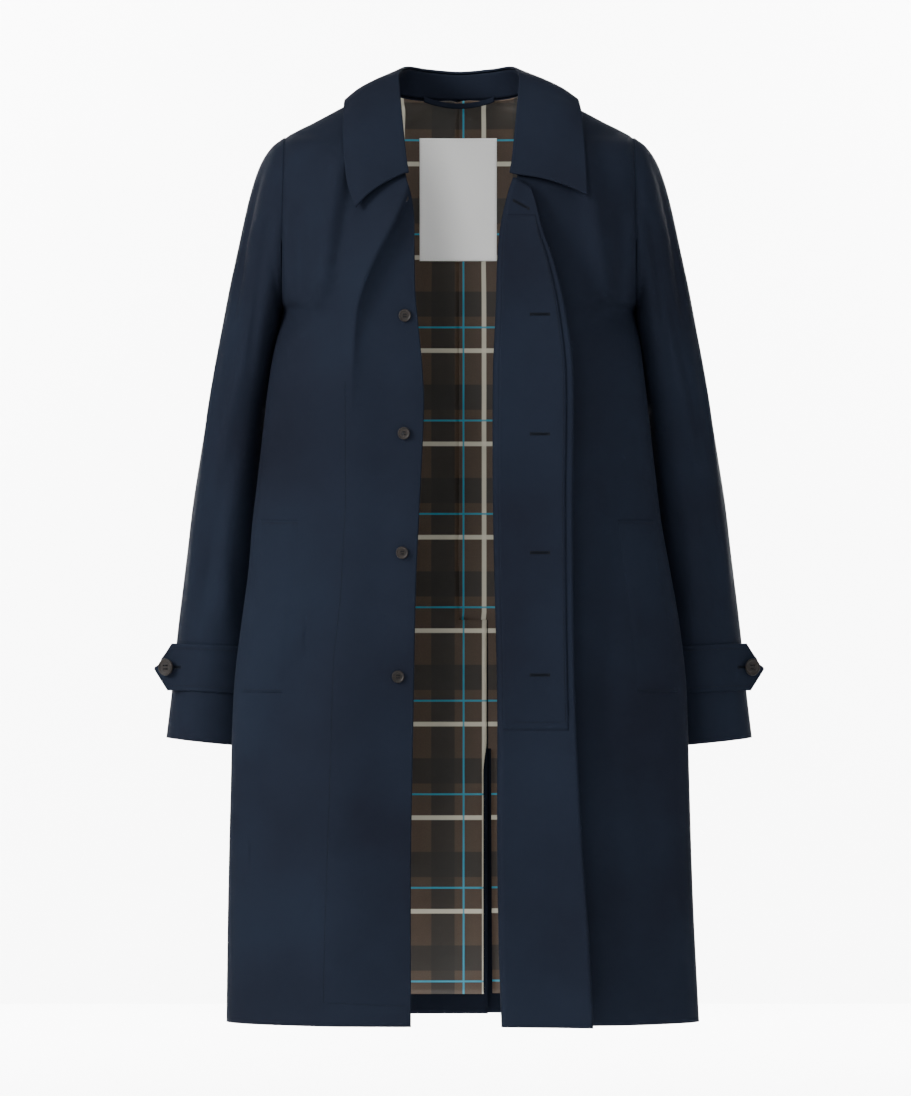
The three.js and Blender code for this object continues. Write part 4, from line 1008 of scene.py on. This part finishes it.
def horn(name):
    """Polished dark horn: slow cloudy streaks of brown along one direction."""
    made = bpy.data.materials.new(name)
    made.use_nodes = True
    tree = made.node_tree
    body = tree.nodes["Principled BSDF"]
    place = node(tree, "ShaderNodeTexCoord").outputs["Object"]
    drawn = node(tree, "ShaderNodeMapping", Vector=place, Rotation=(0.3, 0.5, 0.4),
                 Scale=(90, 160, 420)).outputs[0]
    streak = node(tree, "ShaderNodeTexNoise", Vector=drawn, Scale=1.0, Detail=5.0,
                  Distortion=0.6).outputs["Fac"]
    tone = node(tree, "ShaderNodeValToRGB", Fac=streak)
    tone.color_ramp.elements[0].position = 0.35
    tone.color_ramp.elements[0].color = linear("#080605")
    tone.color_ramp.elements[1].position = 0.75
    tone.color_ramp.elements[1].color = linear("#17100C")
    fine = node(tree, "ShaderNodeBump", Height=streak, Strength=0.15, Distance=0.0001).outputs[0]
    gloss = node(tree, "ShaderNodeMapRange", Value=streak, To_Min=0.42, To_Max=0.55).outputs[0]
    body.inputs["Specular IOR Level"].default_value = 0.2
    tree.links.new(tone.outputs[0], body.inputs["Base Color"])
    tree.links.new(gloss, body.inputs["Roughness"])
    tree.links.new(fine, body.inputs["Normal"])
    return made


# Horn of all the buttons.
dark_horn = horn("dark horn")


dish_across, dish_high, hole_place, hole_size = 0.66, 0.62, 0.2, 0.115
rim_profile = [
    (dish_across, dish_high), (0.74, 0.70), (0.82, 0.94), (0.89, 1.0), (0.96, 0.9), (1.0, 0.6),
    (0.97, 0.3), (0.85, 0.06), (dish_across, 0.0)]
rim_sides, hole_sides = 48, 12


def four_hole_button(name, centre, normal, radius, height):
    """Rim turned round a dish, both as shares of the radius and height; the dish and the flat
    base are filled between their outline and the four holes, whose walls join them."""
    holes = [hole_place * radius * np.array([a, b]) for a in (-1, 1) for b in (-1, 1)]
    hole_radius = hole_size * radius
    turn = 2 * np.pi * np.arange(rim_sides) / rim_sides
    ring = np.stack([np.cos(turn), np.sin(turn)], -1)
    small = ring[::rim_sides // hole_sides]
    flat = [Vector(dish_across * radius * p) for p in ring]
    loops = [[(k, (k + 1) % rim_sides) for k in range(rim_sides)]]
    for hole in holes:
        start = len(flat)
        flat += [Vector(hole + hole_radius * p) for p in small]
        loops.append([(start + k, start + (k + 1) % hole_sides) for k in range(hole_sides)])
    made = delaunay_2d_cdt(flat, [e for loop in loops for e in loop], [], 0, 1e-6)
    places, fills = [np.array(v) for v in made[0]], []
    for face in made[2]:
        middle = sum(places[k] for k in face) / 3
        if all(np.linalg.norm(middle - hole) > 0.9 * hole_radius for hole in holes):
            fills.append(list(face))
    count = len(places)
    dish = dish_high * height
    points = [(p[0], p[1], dish) for p in places] + [(p[0], p[1], 0.0) for p in places]
    faces = fills + [[count + k for k in face[::-1]] for face in fills]
    for loop in loops[1:]:
        faces += [[a, b, count + b, count + a] for a, b in loop]
    start = len(points)
    for across, high in rim_profile:
        points += [(across * radius * p[0], across * radius * p[1], high * height) for p in ring]
    for k in range(len(rim_profile) - 1):
        low, high = start + rim_sides * k, start + rim_sides * (k + 1)
        faces += [
            [low + a, high + a, high + (a + 1) % rim_sides, low + (a + 1) % rim_sides]
            for a in range(rim_sides)]
    turned = Vector(normal).to_track_quat("Z", "X").to_matrix()
    mesh = bpy.data.meshes.new(name)
    mesh.from_pydata([(turned @ Vector(p) + Vector(centre)) / 1000 for p in points], [], faces)
    solid = bmesh.new()
    solid.from_mesh(mesh)
    bmesh.ops.remove_doubles(solid, verts=solid.verts, dist=1e-6)
    bmesh.ops.recalc_face_normals(solid, faces=solid.faces)
    for face in solid.faces:
        face.smooth = len(face.verts) == 4
    solid.to_mesh(mesh)
    solid.free()
    mesh.materials.append(dark_horn)
    piece = bpy.data.objects.new(name, mesh)
    bpy.context.scene.collection.objects.link(piece)
    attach(piece, "root")
    lay = [np.array(turned @ Vector((h[0], h[1], dish + 0.25))) + centre for h in holes]
    side = np.array(turned @ Vector((0.3, 0, 0)))
    starts = np.array([lay[a] + k * side for a in (0, 2) for k in (-1, 0, 1)])
    ends = np.array([lay[b] + k * side for b in (1, 3) for k in (-1, 0, 1)])
    spindles(name + "_thread", starts, ends, 0.24, navy_thread)
    return piece


small_radius, small_height, large_radius, large_height = 6.8, 2.6, 9.5, 3.0
seats = [("front_button_%d" % k, right_front, small_radius, small_height) for k in range(1, 6)]
seats += [("cuff_button_right", straps[0], large_radius, large_height),
          ("cuff_button_left", straps[1], large_radius, large_height)]
for name, under, radius, height in seats:
    low, high = (np.array(corner) * 1000 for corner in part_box(name))
    middle = (low + high) / 2
    near = np.argmin(np.linalg.norm(under.reshape(-1, 3) - middle, axis=-1))
    out = normals(under).reshape(-1, 3)[near]
    out = out * -np.sign(out[1])
    made_button = four_hole_button(
        name.replace("button", "horn"), middle - out * height / 2, out, radius, height)
    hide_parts(name)

# ---- label stitching ---------------------------------------------------------------------
# White machine stitching round the label, 2.5 mm in from its edge, in a finer thread than
# the coat's own.
white_thread = thread("white sewing thread", "#DADAD6", "#F4F4F0")
rim = [(-41.5, -26.5), (39.5, -26.5), (39.5, -157.5), (-41.5, -157.5), (-41.5, -26.5)]
sew("label_stitching", [seam(label, rim, 0.45)], 0.2, white_thread)

# ---- studio ------------------------------------------------------------------------------
# Plain white floor and backdrop. A large soft light stands on the wearer's right and a weak
# one on the other side, a small one in front reaches into the neck, one hangs above, and two
# light the backdrop.


def plain_white(name):
    """Matt white paint with a barely seen unevenness."""
    made = bpy.data.materials.new(name)
    made.use_nodes = True
    tree = made.node_tree
    place = node(tree, "ShaderNodeTexCoord").outputs["Object"]
    grain = node(tree, "ShaderNodeTexNoise", Vector=place, Scale=3.0).outputs["Fac"]
    tone = node(tree, "ShaderNodeValToRGB", Fac=grain)
    tone.color_ramp.elements[0].color = linear("#FAFAFA")
    tone.color_ramp.elements[1].color = linear("#FFFFFF")
    body = tree.nodes["Principled BSDF"]
    tree.links.new(tone.outputs[0], body.inputs["Base Color"])
    body.inputs["Roughness"].default_value = 0.95
    return made


white_paint = plain_white("white studio paint")
bpy.ops.mesh.primitive_plane_add(size=50, location=(0, 0, -1.7))
floor = bpy.context.object
bpy.ops.mesh.primitive_plane_add(size=50, location=(0, 9.5, 2), rotation=(math.radians(90), 0, 0))
backdrop = bpy.context.object
for board in (floor, backdrop):
    board.data.materials.append(white_paint)


def soft_light(name, place, aim, size, power):
    """Square area light at a place, aimed at a point."""
    data = bpy.data.lights.new(name, "AREA")
    data.size, data.energy = size, power
    lamp = bpy.data.objects.new(name, data)
    bpy.context.scene.collection.objects.link(lamp)
    lamp.location = place
    turn = np.array(aim) - np.array(place)
    tip = math.atan2(math.hypot(turn[0], turn[1]), -turn[2])
    lamp.rotation_euler = (tip, 0, math.atan2(turn[1], turn[0]) - math.pi / 2)


soft_light("key", (-4.0, -2.8, 1.5), (0, 0, -0.45), 1.8, 520)
soft_light("fill", (3.4, -4.2, 0.4), (0, 0, -0.5), 3.0, 160)
soft_light("neck", (-0.9, -3.4, 0.9), (0, 0, -0.12), 0.7, 42)
soft_light("top", (0, -1.0, 3.0), (0, 0, -0.3), 2.5, 80)
soft_light("backdrop left", (-3.5, 7.0, 2.4), (-1.2, 9.5, -0.6), 2.4, 1500)
soft_light("backdrop right", (3.5, 7.0, 2.4), (1.2, 9.5, -0.6), 2.4, 1500)
world = bpy.data.worlds.new("studio")
world.use_nodes = True
background = world.node_tree.nodes["Background"]
background.inputs[0].default_value = (1, 1, 1, 1)
background.inputs[1].default_value = 0.55
bpy.context.scene.world = world

# Camera straight in front of the coat, level with its middle and a few metres away.
eye = bpy.data.cameras.new("camera")
eye.lens = 197.6
eye.sensor_width = 36
camera = bpy.data.objects.new("camera", eye)
bpy.context.scene.collection.objects.link(camera)
camera.location = (-0.004, -6.61, -0.480)
camera.rotation_euler = (math.radians(90), 0, 0)
bpy.context.scene.camera = camera
